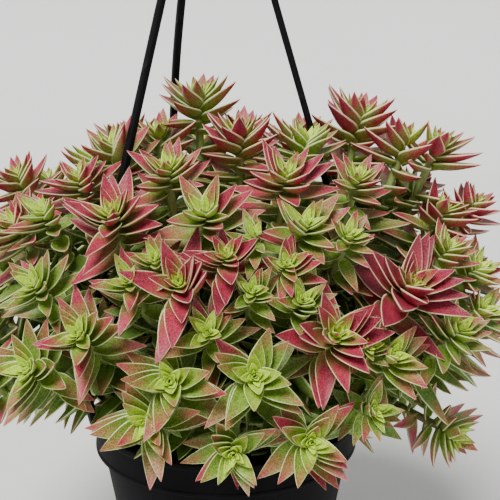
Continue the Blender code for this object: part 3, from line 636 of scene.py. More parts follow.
def leaf_skin(form, leaf):
    """Points of one leaf: a boat-shaped blade with a keel underneath and thin margins."""
    share = form.along
    ramp = ease(0.05, 0.55, share) * math.radians(LEAF_CURL) + share ** 2 * math.radians(leaf.curl)
    angle = math.radians(leaf.tilt) + ramp
    step = np.diff(share, prepend=0.0) * leaf.length
    middle = (angle + np.concatenate([angle[:1], angle[:-1]])) / 2.0
    out = np.cumsum(step * np.cos(middle))
    rise = np.cumsum(step * np.sin(middle))

    near = 0.52 + 0.48 * np.sin(0.5 * math.pi * np.clip(share / LEAF_WIDEST, 0.0, 1.0))
    far = 1.0 - np.clip((share - LEAF_WIDEST) / (1.0 - LEAF_WIDEST), 0.0, 1.0) ** LEAF_TAPER
    half = 0.5 * leaf.width * leaf.length * np.minimum(near, far)
    thick = LEAF_THICKNESS * leaf.length * (0.7 + 0.3 * np.sin(math.pi * share)) * (1.0 - share ** 2.4) ** 0.7
    thick = np.minimum(thick, 0.8 * half + 0.1)
    margin = np.minimum(MARGIN_THICKNESS * (0.35 + leaf.length / 30.0), 0.6 * half)
    fold = leaf.fold * (1.0 - 0.55 * share)
    crown = 0.22 * ease(0.25, 0.8, share)

    w = form.across[None, :]
    spread = half[:, None] * w
    edge = fold[:, None] * half[:, None] * np.abs(w) ** 1.7
    above = edge + (crown * thick)[:, None] * (1.0 - w ** 2)
    below = edge - margin[:, None] - thick[:, None] * (1.0 - np.abs(w) ** 1.35)
    height = np.where(form.under[None, :] > 0.5, below, above)

    outward = np.array(leaf.outward)
    facing = np.array(leaf.facing)
    across = np.cross(facing, outward)
    root = np.array(leaf.root)
    spine = root + out[:, None] * outward + rise[:, None] * facing
    spine = spine + (leaf.sweep * leaf.length * share ** 2)[:, None] * across
    normal = -np.sin(angle)[:, None] * outward + np.cos(angle)[:, None] * facing
    points = (spine[:, None, :] + spread[:, :, None] * across + height[:, :, None] * normal[:, None, :])
    tip = spine[-1] + 0.012 * leaf.length * (np.cos(angle[-1]) * outward + np.sin(angle[-1]) * facing)
    return np.concatenate([[spine[0] - 0.3 * margin[0] * normal[0]], points.reshape(-1, 3), [tip]])


def tube_skin(points, radii, sides):
    """Points of a round stem through a line of points."""
    path = np.array([tuple(p) for p in points])
    ahead = np.gradient(path, axis=0)
    ahead /= np.linalg.norm(ahead, axis=1)[:, None]
    side = np.array(Vector(ahead[0]).orthogonal().normalized())
    turn = 2.0 * math.pi * np.arange(sides) / sides
    rings = []
    for centre, direction, radius in zip(path, ahead, radii):
        side = side - direction * side.dot(direction)
        side /= np.linalg.norm(side)
        other = np.cross(direction, side)
        rings.append(centre + radius * (np.cos(turn)[:, None] * side + np.sin(turn)[:, None] * other))
    return np.concatenate([[path[0]], np.concatenate(rings), [path[-1] + 0.4 * radii[-1] * ahead[-1]]])


# Shoots


def stem_curve(foot, bend, middle, rosette):
    """Centre line from the soil through the fork to just under a rosette, in two parts."""
    top = FORK_SHARE - FORK_OVERLAP
    fork = arc_point(foot, bend, middle, top)
    lower = [arc_point(foot, bend, middle, s) for s in np.linspace(0.0, top, 14)]
    lower[1:4] = [foot.lerp(lower[4], s) for s in (0.25, 0.5, 0.75)]
    old = rosette.base - OLD_PAIR_BACK * rosette.facing
    reach = 0.45 * (old - fork).length
    first = fork + 0.5 * reach * (lower[-1] - lower[-2]).normalized()
    second = old - reach * rosette.facing
    upper = []
    for s in np.linspace(0.0, 1.0, 18)[1:]:
        a = fork.lerp(first, s)
        b = first.lerp(second, s)
        c = second.lerp(old, s)
        upper.append(a.lerp(b, s).lerp(b.lerp(c, s), s))
    return lower, upper


def leaf_root(centre, facing, radius, azimuth):
    """Where a leaf leaves the core, and the direction it goes."""
    right, above = frame_of(facing)
    a = math.radians(azimuth)
    outward = math.cos(a) * right + math.sin(a) * above
    return centre + 0.705 * radius * outward, outward


class Space:
    """Skins that are already placed, and which rosette owns each."""

    def __init__(self, most=9000):
        self.low = np.zeros((most, 3))
        self.high = np.zeros((most, 3))
        self.owner = np.zeros(most, int)
        self.trees = []

    def add(self, points, faces, owner):
        number = len(self.trees)
        self.low[number] = points.min(axis=0)
        self.high[number] = points.max(axis=0)
        self.owner[number] = owner
        self.trees.append(BVHTree.FromPolygons(points.tolist(), faces))

    def crossed(self, points, faces, owner):
        """Whether a skin crosses any other that has another owner."""
        number = len(self.trees)
        near = (self.low[:number] < points.max(axis=0)).all(axis=1)
        near &= (self.high[:number] > points.min(axis=0)).all(axis=1)
        near &= self.owner[:number] != owner
        if not near.any():
            return False
        tree = BVHTree.FromPolygons(points.tolist(), faces)
        return any(tree.overlap(self.trees[k]) for k in np.nonzero(near)[0])


def faces_of(form):
    return [tuple(f) for f in form.quads.tolist() + form.triangles.tolist()]


FINE_FACES = faces_of(FINE_LEAF)
PLAIN_FACES = faces_of(PLAIN_LEAF)


def loose_end(leaf, rings):
    """A plain skin of a leaf without its first rings, to tell what the leaf would cross."""
    skin = leaf_skin(PLAIN_LEAF, leaf)
    start = 1 + rings * PLAIN_LEAF.around
    skin[:start] = skin[start:start + PLAIN_LEAF.around].mean(axis=0)
    return skin


Grown = namedtuple("Grown", "leaf age form")


def packed_leaves(rosette, known, draw):
    """The outer leaves of a rosette and the old pair below it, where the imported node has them."""
    leaves = []
    lifts = [0.0] * 4
    reach = [1.0] * 4
    asked = []
    for pair, (tilt, share, height) in enumerate(PAIRS[:PACKED_PAIRS]):
        for side in (0, 2):
            fan = side + pair % 2
            azimuth = rosette.turn + PAIR_TWIST * (pair + 0.5) + 90.0 * fan
            asked.append((fan, height, CORE_RADIUS - CORE_TAPER * (pair + 0.5), azimuth, tilt, share,
                          1.0 - pair / len(PAIRS)))
    if rosette.old_pair:
        for fan in (1, 3):
            asked.append((None, 0.5 * LEVEL_HEIGHT - OLD_PAIR_BACK, BRANCH_RADIUS + LEVEL_SWELL,
                          rosette.turn - PAIR_TWIST + 90.0 * fan, OLD_PAIR_TILT, 1.0, 1.2))
    for fan, height, radius, azimuth, tilt, share, age in asked:
        root, outward = leaf_root(rosette.base + height * rosette.facing, rosette.facing, radius, azimuth)
        found = packed_leaf(known, root, outward, rosette.facing, tilt, rosette.leaf * share)
        if found is None:
            continue
        if fan is not None:
            lifts[fan] = found[0] - tilt
            reach[fan] = found[1] / (rosette.leaf * share)
        leaf = Leaf(root, outward, rosette.facing, found[1], found[0], draw.uniform(-13.0, 6.0),
                    draw.uniform(-0.06, 0.06), LEAF_WIDTH_SHARE * draw.uniform(0.92, 1.06), LEAF_FOLD)
        leaves.append(Grown(leaf, age, FINE_LEAF))
    return leaves, lifts, reach


def inner_leaf(rosette, pair, side, lift, reach, way, jitter):
    """One leaf of a rosette's inner or lower pairs, changed by a way of keeping clear."""
    tilt, share, height = PAIRS[pair] if pair >= 0 else PAIRS_BELOW[-1 - pair]
    inward = max(pair, 0) / len(PAIRS)
    azimuth = rosette.turn + PAIR_TWIST * (pair + 0.5) + 90.0 * (side + pair % 2) + 6.0 * jitter[0]
    radius = CORE_RADIUS - 0.13 * pair if pair >= 0 else BRANCH_RADIUS + LEVEL_SWELL
    root, outward = leaf_root(rosette.base + height * rosette.facing, rosette.facing, radius, azimuth)
    more, shrink = way
    tilt = min(tilt + (lift + more) * (1.0 - inward) + 5.0 * jitter[1], 87.0)
    length = rosette.leaf * share * min(1.0, reach + 0.25) * (1.0 + 0.09 * jitter[2]) * shrink
    return Leaf(root, outward, rosette.facing, length, tilt, 13.0 * jitter[3] * (1.0 - inward) + 12.0 * inward,
                0.08 * jitter[0] * (1.0 - inward), LEAF_WIDTH_SHARE * (1.0 + 0.08 * jitter[1] + 0.22 * inward),
                LEAF_FOLD + 0.2 * inward)


def grow_inner(rosettes, outer, space, draw):
    """Inner pairs of all rosettes, lowest first, then the pairs below, each clear of other rosettes."""
    grown = [[] for _ in rosettes]
    below = [-1 - k for k in range(len(PAIRS_BELOW))]
    for pair in [*range(PACKED_PAIRS, len(PAIRS)), *below]:
        for number, rosette in enumerate(rosettes):
            if rosette.leaf < SMALL_ROSETTE and pair == len(PAIRS) - 2:
                continue
            if rosette.old_pair and pair == below[-1]:
                continue
            _, lifts, reach = outer[number]
            plain_form = pair >= PLAIN_FROM_PAIR or pair < -1 or not rosette.old_pair
            for side in (0, 2):
                jitter = [draw.uniform(-1.0, 1.0) for _ in range(4)]
                fan = side + pair % 2
                for way in WAYS:
                    leaf = inner_leaf(rosette, pair, side, lifts[fan], reach[fan], way, jitter)
                    if pair >= PLAIN_FROM_PAIR or not space.crossed(loose_end(leaf, 1), PLAIN_FACES, number):
                        break
                else:
                    continue
                age = 1.0 - pair / len(PAIRS) if pair >= 0 else 1.0 - 0.1 * pair
                form = SMALL_LEAF if pair >= SMALL_FROM_PAIR else PLAIN_LEAF if plain_form else FINE_LEAF
                grown[number].append(Grown(leaf, age, form))
                if pair < PLAIN_FROM_PAIR:
                    space.add(leaf_skin(PLAIN_LEAF, leaf), PLAIN_FACES, number)
    return grown


def stem_leaves(line, space, draw, count):
    """Pairs of older leaves down a stem, each turned a quarter from the next, where there is room."""
    grown = []
    gone = 0.0
    azimuth = draw.uniform(0.0, 90.0)
    for k in range(len(line) - 1, 0, -1):
        ahead = line[k] - line[k - 1]
        gone += ahead.length
        if gone < STEM_PAIR_SPACING:
            continue
        gone = 0.0
        azimuth += 90.0 + PAIR_TWIST
        ahead.normalize()
        side = ahead.orthogonal().normalized()
        other = ahead.cross(side)
        for half_turn in (0.0, 180.0):
            a = math.radians(azimuth + half_turn + draw.uniform(-12.0, 12.0))
            outward = math.cos(a) * side + math.sin(a) * other
            root = line[k] + 0.75 * BRANCH_RADIUS * outward
            length = draw.uniform(*STEM_LEAF)
            curl = draw.uniform(-20.0, 6.0)
            sweep = draw.uniform(-0.06, 0.06)
            more = draw.uniform(*STEM_TILT)
            count[0] += 1
            for tilt, shrink in STEM_WAYS:
                leaf = Leaf(root, outward, ahead, shrink * length, tilt + more, curl, sweep, LEAF_WIDTH_SHARE,
                            LEAF_FOLD)
                end = loose_end(leaf, 2)
                tip = Vector(end[-1])
                if tip.z < SOIL_EDGE_HEIGHT + 4.0 or mound_level(tip) > STEM_LEAF_REACH:
                    continue
                if space.crossed(end, PLAIN_FACES, -2):
                    continue
                space.add(end, PLAIN_FACES, -3)
                grown.append(Grown(leaf, 1.6, PLAIN_LEAF if leaf.length > SHORT_LEAF else SMALL_LEAF))
                count[1] += 1
                break
    return grown


def make_shoots(mats, strands):
    rosettes = lay_rosettes()
    groups = group_rosettes(rosettes)
    draw = random.Random(31)
    space = Space()
    for points, faces in strands:
        space.add(points, faces, -1)
    outer = [None] * len(rosettes)
    lines = [None] * len(rosettes)
    for shoot, members in enumerate(groups):
        known = corners(f"shoot_{shoot + 1:02d}")
        foot, bend, middle = shoot_route(members, rosettes)
        bend = packed_bend(known, foot, bend, middle)
        for m in members:
            outer[m] = packed_leaves(rosettes[m], known, draw)
            lines[m] = stem_curve(foot, bend, middle, rosettes[m])
            for grown in outer[m][0]:
                space.add(leaf_skin(FINE_LEAF, grown.leaf), FINE_FACES, m)
    inner = grow_inner(rosettes, outer, space, draw)
    stems = [None] * len(rosettes)
    for members in groups:
        for place, m in enumerate(members):
            rosette = rosettes[m]
            lower, upper = lines[m]
            line = (lower if place == 0 else lower[-3:]) + upper
            line = line + [rosette.base + h * rosette.facing for h in (-9.0, -5.0, 0.0, 4.0, 8.0, 10.5)]
            radii = np.interp(np.linspace(0.0, 1.0, len(line)), (0.0, 0.5, 0.8, 0.93, 1.0),
                              (MAIN_STEM_RADIUS, BRANCH_RADIUS + 0.2, BRANCH_RADIUS, 1.9, 0.6))
            if place > 0:
                radii = np.minimum(radii, BRANCH_RADIUS + 0.2)
            quads, triangles = ring_faces(len(line), STEM_SIDES)
            points = tube_skin(line, radii, STEM_SIDES)
            stems[m] = (points, quads, triangles)
            space.add(points, [tuple(f) for f in quads.tolist() + triangles.tolist()], -1)
    count = [0, 0]
    feet = []
    for shoot, members in enumerate(groups):
        skin = Skin()
        for place, m in enumerate(members):
            rosette = rosettes[m]
            lower, upper = lines[m]
            more = stem_leaves(lower[-1:] + upper, space, draw, count)
            if place == 0:
                more += stem_leaves([p for p in lower if p.z > SOIL_EDGE_HEIGHT + 6.0], space, draw, count)
            for grown in outer[m][0] + inner[m] + more:
                blush = rosette.blush * (0.5 if grown.age > 1.5 else 1.0)
                form = grown.form
                skin.add(leaf_skin(form, grown.leaf), form.quads, form.triangles, form.place,
                         (blush, draw.random(), grown.age))
            points, quads, triangles = stems[m]
            skin.add(points, quads, triangles, np.full((len(points), 3), 0.5), (rosette.blush, 0.5, 1.0), 1)
        feet.append(lines[members[0]][0][0])
        name = f"shoot_{shoot + 1:02d}"
        piece = skin.build(f"foliage_{shoot + 1:02d}", mats)
        finish_piece(piece, [name])
    return feet


# Pot, soil and hanger


def rounded(outline, radius, steps=3):
    """The same outline with each inner corner turned in a short curve."""
    points = [Vector(p) for p in outline]
    result = [points[0]]
    for before, corner, after in zip(points, points[1:], points[2:]):
        back = before - corner
        on = after - corner
        reach = min(radius, 0.45 * back.length, 0.45 * on.length)
        start = corner + reach * back.normalized()
        end = corner + reach * on.normalized()
        for k in range(steps + 1):
            share = k / steps
            result.append(start.lerp(corner, share).lerp(corner.lerp(end, share), share))
    result.append(points[-1])
    return result


def lathe(outline, segments):
    """Turn a closed outline of (radius, height), from the axis to the axis, bottom first."""
    turn = 2.0 * math.pi * np.arange(segments) / segments
    rings = [np.stack([r * np.cos(turn), r * np.sin(turn), np.full(segments, z)], axis=1)
             for r, z in outline[1:-1]]
    ends = [[(0.0, 0.0, outline[0][1])], [(0.0, 0.0, outline[-1][1])]]
    quads, triangles = ring_faces(len(rings), segments)
    return np.concatenate([ends[0], *rings, ends[1]]), quads, triangles


def plain(points):
    return np.zeros((len(points), 3))


def block(centre, across, along, tall, angle):
    """A box whose across side points along the given angle about Z, as points and faces."""
    turn = Matrix.Rotation(math.radians(angle), 3, "Z")
    points = []
    for z in (-0.5 * tall, 0.5 * tall):
        for x, y in ((-1, -1), (1, -1), (1, 1), (-1, 1)):
            points.append(centre + turn @ Vector((0.5 * across * x, 0.5 * along * y, z)))
    faces = [(3, 2, 1, 0), (4, 5, 6, 7), (0, 1, 5, 4), (1, 2, 6, 5), (2, 3, 7, 6), (3, 0, 4, 7)]
    return points, faces


def drill(centre, radius, tall, sides=32):
    points = []
    for z in (-0.5 * tall, 0.5 * tall):
        for i in range(sides):
            points.append(centre + around(360.0 * i / sides, radius, z))
    faces = [tuple(reversed(range(sides))), tuple(range(sides, 2 * sides))]
    faces += [(i, (i + 1) % sides, sides + (i + 1) % sides, sides + i) for i in range(sides)]
    return points, faces


def carve(piece, cutters):
    """Cut closed forms out of a piece."""
    group = bpy.data.collections.new(piece.name + "_cutters")
    bpy.context.scene.collection.children.link(group)
    for points, faces in cutters:
        mesh = bpy.data.meshes.new("cutter")
        mesh.from_pydata([tuple(p * MM) for p in points], [], faces)
        group.objects.link(bpy.data.objects.new("cutter", mesh))
    modifier = piece.modifiers.new("cut", "BOOLEAN")
    modifier.operation = "DIFFERENCE"
    modifier.solver = "EXACT"
    modifier.operand_type = "COLLECTION"
    modifier.collection = group
    graph = bpy.context.evaluated_depsgraph_get()
    mesh = bpy.data.meshes.new_from_object(piece.evaluated_get(graph))
    piece.modifiers.clear()
    piece.data = mesh
    for cutter in list(group.objects):
        bpy.data.objects.remove(cutter, do_unlink=True)
    bpy.data.collections.remove(group)


def finish_piece(piece, nodes, sharp_angle=None):
    if sharp_angle is not None:
        piece.data.set_sharp_from_angle(angle=math.radians(sharp_angle))
    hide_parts(*nodes)
    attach(piece, "root")


def wall_radius(height):
    """Outer radius of the tapered wall."""
    share = min(height / TAPER_TOP, 1.0)
    return BASE_RADIUS + (WALL_TOP_RADIUS - BASE_RADIUS) * share


def make_pot(mat):
    skirt_bottom = POT_HEIGHT - SKIRT_HEIGHT
    plate_under = POT_HEIGHT - WALL
    inner = WALL_TOP_RADIUS - WALL
    outline = (
        (0.0, 0.0),
        (PAD_RADIUS, 0.0),
        (PAD_RADIUS + 0.6, FOOT_RECESS),
        (FOOT_RECESS_RADIUS, FOOT_RECESS),
        (FOOT_RECESS_RADIUS + 0.6, 0.0),
        (BASE_RADIUS, 0.0),
        (wall_radius(22.0), 22.0),
        (wall_radius(22.0) + 0.35, 22.3),
        (wall_radius(24.0) + 0.35, 24.0),
        (wall_radius(24.3), 24.3),
        (WALL_TOP_RADIUS, TAPER_TOP),
        (WALL_TOP_RADIUS, plate_under),
        (RIM_RADIUS - SKIRT_WALL, plate_under),
        (RIM_RADIUS - SKIRT_WALL, skirt_bottom),
        (RIM_RADIUS, skirt_bottom),
        (RIM_RADIUS, skirt_bottom + 1.6),
        (RIM_RADIUS - 0.35, skirt_bottom + 2.0),
        (RIM_RADIUS - 0.35, POT_HEIGHT - 2.6),
        (RIM_RADIUS, POT_HEIGHT - 2.2),
        (RIM_RADIUS, POT_HEIGHT),
        (inner, POT_HEIGHT),
        (inner, TAPER_TOP),
        (wall_radius(FLOOR_TOP) - WALL, FLOOR_TOP),
        (0.0, FLOOR_TOP),
    )
    skin = Skin()
    points, quads, triangles = lathe(rounded(outline, 0.5), POT_SEGMENTS)
    skin.add(points, quads, triangles, plain(points), (0.0, 0.0, 0.0))
    pot = skin.build("nursery_pot", [mat])
    cutters = []
    for i in range(DRAIN_HOLES):
        cutters.append(drill(around(360.0 * i / DRAIN_HOLES, DRAIN_RING_RADIUS, 0.5 * FLOOR_TOP),
                             DRAIN_HOLE_RADIUS, FLOOR_TOP + 4.0))
    for angle in STRAND_ANGLES:
        centre = around(angle, SLOT_RING_RADIUS, POT_HEIGHT - 0.5 * WALL)
        cutters.append(block(centre, SLOT_WIDTH, SLOT_LENGTH, 2.0 * WALL, angle))
    carve(pot, cutters)
    finish_piece(pot, ["pot"], 40)


def crumb(draw):
    """A small angular grain: an uneven eight-cornered lump."""
    form = []
    for z, flat in ((-0.55, 0.75), (0.5, 0.8)):
        for k in range(5):
            a = 2.0 * math.pi * (k + draw.uniform(-0.25, 0.25)) / 5
            r = flat * draw.uniform(0.65, 1.1)
            form.append((r * math.cos(a), r * math.sin(a), z * draw.uniform(0.6, 1.2)))
    return np.array([(0.0, 0.0, -0.75)] + form + [(0.0, 0.0, 0.7)])


def make_soil(mat):
    """Peat up to just under the rim, its top uneven and strewn with crumbs and a little perlite."""
    draw = random.Random(12)
    shrink = WALL + GAP + 0.3
    edge = WALL_TOP_RADIUS - shrink
    outline = [(0.0, FLOOR_TOP + GAP), (wall_radius(FLOOR_TOP) - shrink, FLOOR_TOP + GAP), (edge, TAPER_TOP)]
    for k in range(SOIL_RINGS):
        radius = edge * (1.0 - k / SOIL_RINGS)
        outline.append((radius, soil_height(radius)))
    outline.append((0.0, soil_height(0.0)))
    points, quads, triangles = lathe(outline, SOIL_SEGMENTS)
    for i in range(1 + 2 * SOIL_SEGMENTS, len(points)):
        spot = Vector(points[i])
        lumps = noise.noise(spot * 0.22) * 1.5 + noise.noise(spot * 0.7) * 0.8 + noise.noise(spot * 1.9) * 0.4
        points[i, 2] += lumps - 1.2
    skin = Skin()
    skin.add(points, quads, triangles, plain(points), (0.0, 0.5, 0.0))
    grain_quads, grain_triangles = ring_faces(2, 5)
    for _ in range(CRUMBS):
        angle = draw.uniform(0.0, 360.0)
        radius = (edge - 2.0) * math.sqrt(draw.random())
        size = draw.uniform(0.5, 1.5)
        white = draw.random() < PERLITE_SHARE
        turn = np.array(Matrix.Rotation(draw.uniform(0.0, 6.0), 3, Vector((draw.random(), draw.random(), 0.4))))
        grain = size * crumb(draw) @ turn.T + np.array(around(angle, radius, soil_height(radius) - 0.5))
        skin.add(grain, grain_quads, grain_triangles, plain(grain), (1.0 if white else 0.0, draw.random(), 0.0))
    soil = skin.build("potting_mix", [mat])
    finish_piece(soil, ["soil"], 50)


SECTION_SIDES = 16


def flat_ring(centre, length, thickness, along, outward):
    """A rounded oblong section of a strand."""
    turn = 2.0 * math.pi * (np.arange(SECTION_SIDES) + 0.5) / SECTION_SIDES
    x = np.sign(np.cos(turn)) * np.abs(np.cos(turn)) ** 0.45
    y = np.sign(np.sin(turn)) * np.abs(np.sin(turn)) ** 0.45
    return (np.array(centre) + 0.5 * length * x[:, None] * np.array(along)
            - 0.5 * thickness * y[:, None] * np.array(outward))


def strand_rings(number):
    angle = STRAND_ANGLES[number]
    out = around(angle, 1.0, 0.0)
    along = UP.cross(out)
    seat = around(angle, SLOT_RING_RADIUS, 0.0)
    under = POT_HEIGHT - WALL - GAP
    over = POT_HEIGHT + GAP
    steps = ((under - 2.6, STRAND_BAR_LENGTH - 0.8, STRAND_FOOT_THICKNESS - 0.5),
             (under - 2.3, STRAND_BAR_LENGTH, STRAND_FOOT_THICKNESS),
             (under - 0.2, STRAND_BAR_LENGTH, STRAND_FOOT_THICKNESS),
             (under, STRAND_FOOT_LENGTH, STRAND_FOOT_THICKNESS),
             (over, STRAND_FOOT_LENGTH, STRAND_FOOT_THICKNESS),
             (over, SHOULDER_LENGTH - 0.5, STRAND_THICKNESS - 0.4),
             (over + 0.3, SHOULDER_LENGTH, STRAND_THICKNESS),
             (over + 1.3, SHOULDER_LENGTH, STRAND_THICKNESS))
    rings = [flat_ring(seat + z * UP, length, thickness, along, out) for z, length, thickness in steps]
    for i in range(STRAND_STATIONS + 1):
        share = i / STRAND_STATIONS
        step = 0.5 / STRAND_STATIONS
        tangent = (strand_point(number, min(share + step, 1.0))
                   - strand_point(number, max(share - step, 0.0))).normalized()
        centre = strand_point(number, share)
        ring = flat_ring(centre, STRAND_WIDTH, STRAND_THICKNESS, along, along.cross(tangent))
        away = min(abs(share - nub) for nub in NUB_SHARES[number]) * (HUB_BOTTOM - POT_HEIGHT)
        dome = NUB_RISE * math.sqrt(max(0.0, 1.0 - (away / NUB_LENGTH) ** 2))
        front = ((ring - np.array(centre)) @ np.array(FRONT)) / (0.5 * STRAND_WIDTH)
        rings.append(ring + (dome * np.clip(2.0 * front - 1.0, 0.0, 1.0))[:, None] * np.array(FRONT))
    top = around(angle, SOCKET_RADIUS, 0.0) + Vector((HUB_ACROSS, 0.0, 0.0))
    for height in (HUB_BOTTOM - GAP, HUB_BOTTOM + TAB_LENGTH):
        rings.append(flat_ring(top + height * UP, TAB_WIDTH, TAB_THICKNESS, along, out))
    return rings


def make_strands(mat):
    """The three strands; returns their skins so that leaves can keep clear of them."""
    solids = []
    for number in range(len(STRAND_ANGLES)):
        rings = strand_rings(number)
        points = np.concatenate([[rings[0].mean(axis=0)], *rings, [rings[-1].mean(axis=0)]])
        quads, triangles = ring_faces(len(rings), SECTION_SIDES)
        skin = Skin()
        skin.add(points, quads, triangles, plain(points), (0.0, 0.0, 0.0))
        strand = skin.build(f"strand_{number + 1}", [mat])
        finish_piece(strand, [f"hanger_strand_{number + 1}"], 35)
        solids.append((points, [tuple(f) for f in quads.tolist() + triangles.tolist()]))
    return solids


def make_hook(mat):
    """Hub with three sockets, a short stalk and a round open hook, all one moulding."""
    centre = Vector((HUB_ACROSS, 0.0, 0.0))
    side = Vector((0.0, 1.0, 0.0))
    top = HUB_BOTTOM + HUB_THICKNESS
    outline = ((0.0, HUB_BOTTOM), (HUB_RADIUS, HUB_BOTTOM), (HUB_RADIUS, top - 2.0), (HOOK_WIRE + 1.4, top),
               (HOOK_WIRE, top + 2.4), (0.0, top + 2.4))
    points, quads, triangles = lathe(rounded(outline, 1.2, 5), 64)
    points = points + np.array(centre)
    skin = Skin()
    skin.add(points, quads, triangles, plain(points), (0.0, 0.0, 0.0))
    start = top + 3.0
    middle = start + HOOK_STALK + HOOK_RADIUS
    path = [(0.0, top - 1.0), (0.0, top + 1.5), (0.0, start), (0.0, start + 0.45 * HOOK_STALK),
            (0.13 * HOOK_RADIUS, middle - 1.12 * HOOK_RADIUS), (0.36 * HOOK_RADIUS, middle - 0.97 * HOOK_RADIUS)]
    for i in range(HOOK_STEPS + 1):
        turn = math.radians(HOOK_START + (HOOK_END - HOOK_START) * i / HOOK_STEPS)
        path.append((HOOK_RADIUS * math.cos(turn), middle + HOOK_RADIUS * math.sin(turn)))
    line = [Vector((HUB_ACROSS + across, 0.0, height)) for across, height in path]
    radii = [HOOK_WIRE] * (len(line) - 2) + [0.93 * HOOK_WIRE, 0.55 * HOOK_WIRE]
    points = tube_skin(line, radii, HOOK_SIDES)
    quads, triangles = ring_faces(len(line), HOOK_SIDES)
    skin.add(points, quads, triangles, plain(points), (0.0, 0.0, 0.0))
    hook = skin.build("hook", [mat])
    sockets = []
    for angle in STRAND_ANGLES:
        spot = centre + around(angle, SOCKET_RADIUS, HUB_BOTTOM + 0.5 * TAB_LENGTH)
        sockets.append(block(spot, TAB_THICKNESS + 2.0 * GAP, TAB_WIDTH + 2.0 * GAP, TAB_LENGTH + 2.0 * GAP,
                             angle))
    carve(hook, sockets)
    finish_piece(hook, ["hanger_hook"], 40)


# Materials


def srgb(red, green, blue):
    """A colour given as it shows on a screen, 0 to 255."""
    return tuple((c / 255.0 / 12.92 if c < 10.3 else ((c / 255.0 + 0.055) / 1.055) ** 2.4)
                 for c in (red, green, blue))


class Graph:
    """A short way to write a material's nodes; its coordinates are in millimetres."""

    def __init__(self, name):
        self.mat = bpy.data.materials.new(name)
        self.mat.use_nodes = True
        self.tree = self.mat.node_tree
        self.shader = self.tree.nodes["Principled BSDF"]
        spot = self.tree.nodes.new("ShaderNodeTexCoord")
        scaled = self.tree.nodes.new("ShaderNodeVectorMath")
        scaled.operation = "SCALE"
        self.tree.links.new(spot.outputs["Object"], scaled.inputs[0])
        scaled.inputs["Scale"].default_value = 1.0 / MM
        self.spot = scaled.outputs[0]

    def feed(self, socket, value):
        if isinstance(value, bpy.types.NodeSocket):
            self.tree.links.new(value, socket)
        elif isinstance(value, tuple) and socket.type == "RGBA":
            socket.default_value = (*value[:3], 1.0)
        else:
            socket.default_value = value

    def math(self, operation, a, b=0.0, clamp=False):
        node = self.tree.nodes.new("ShaderNodeMath")
        node.operation = operation
        node.use_clamp = clamp
        self.feed(node.inputs[0], a)
        self.feed(node.inputs[1], b)
        return node.outputs[0]

    def add(self, *terms):
        total = terms[0]
        for term in terms[1:]:
            total = self.math("ADD", total, term)
        return total

    def times(self, a, b):
        return self.math("MULTIPLY", a, b)

    def ramp(self, value, low, high, to_low=0.0, to_high=1.0):
        node = self.tree.nodes.new("ShaderNodeMapRange")
        node.interpolation_type = "SMOOTHSTEP"
        for socket, number in zip(node.inputs, (value, low, high, to_low, to_high)):
            self.feed(socket, number)
        return node.outputs[0]

    def mix(self, share, a, b, blend="MIX"):
        node = self.tree.nodes.new("ShaderNodeMix")
        node.data_type = "RGBA"
        node.blend_type = blend
        self.feed(node.inputs["Factor"], share)
        self.feed([s for s in node.inputs if s.name == "A" and s.type == "RGBA"][0], a)
        self.feed([s for s in node.inputs if s.name == "B" and s.type == "RGBA"][0], b)
        return [s for s in node.outputs if s.type == "RGBA"][0]

    def noise(self, per_mm, detail=2.0, roughness=0.5, stretch=None):
        node = self.tree.nodes.new("ShaderNodeTexNoise")
        where = self.spot
        if stretch is not None:
            mapping = self.tree.nodes.new("ShaderNodeVectorMath")
            mapping.operation = "MULTIPLY"
            self.tree.links.new(self.spot, mapping.inputs[0])
            mapping.inputs[1].default_value = stretch
            where = mapping.outputs[0]
        self.tree.links.new(where, node.inputs["Vector"])
        node.inputs["Scale"].default_value = per_mm
        node.inputs["Detail"].default_value = detail
        node.inputs["Roughness"].default_value = roughness
        return node.outputs["Fac"]

    def cells(self, per_mm):
        """Distance to the nearest of many scattered points."""
        node = self.tree.nodes.new("ShaderNodeTexVoronoi")
        self.tree.links.new(self.spot, node.inputs["Vector"])
        node.inputs["Scale"].default_value = per_mm
        return node.outputs["Distance"]

    def values(self, name):
        """The three numbers that a mesh carries at each point under this name."""
        node = self.tree.nodes.new("ShaderNodeAttribute")
        node.attribute_name = name
        split = self.tree.nodes.new("ShaderNodeSeparateXYZ")
        self.tree.links.new(node.outputs["Vector"], split.inputs[0])
        return split.outputs

    def bump(self, height, depth_mm, strength):
        node = self.tree.nodes.new("ShaderNodeBump")
        self.feed(node.inputs["Height"], height)
        node.inputs["Distance"].default_value = depth_mm * MM
        node.inputs["Strength"].default_value = strength
        self.tree.links.new(node.outputs["Normal"], self.shader.inputs["Normal"])

    def surface(self, colour, roughness, **constants):
        self.feed(self.shader.inputs["Base Color"], colour)
        self.feed(self.shader.inputs["Roughness"], roughness)
        for name, value in constants.items():
            self.shader.inputs[name.replace("_", " ")].default_value = value
        return self.mat


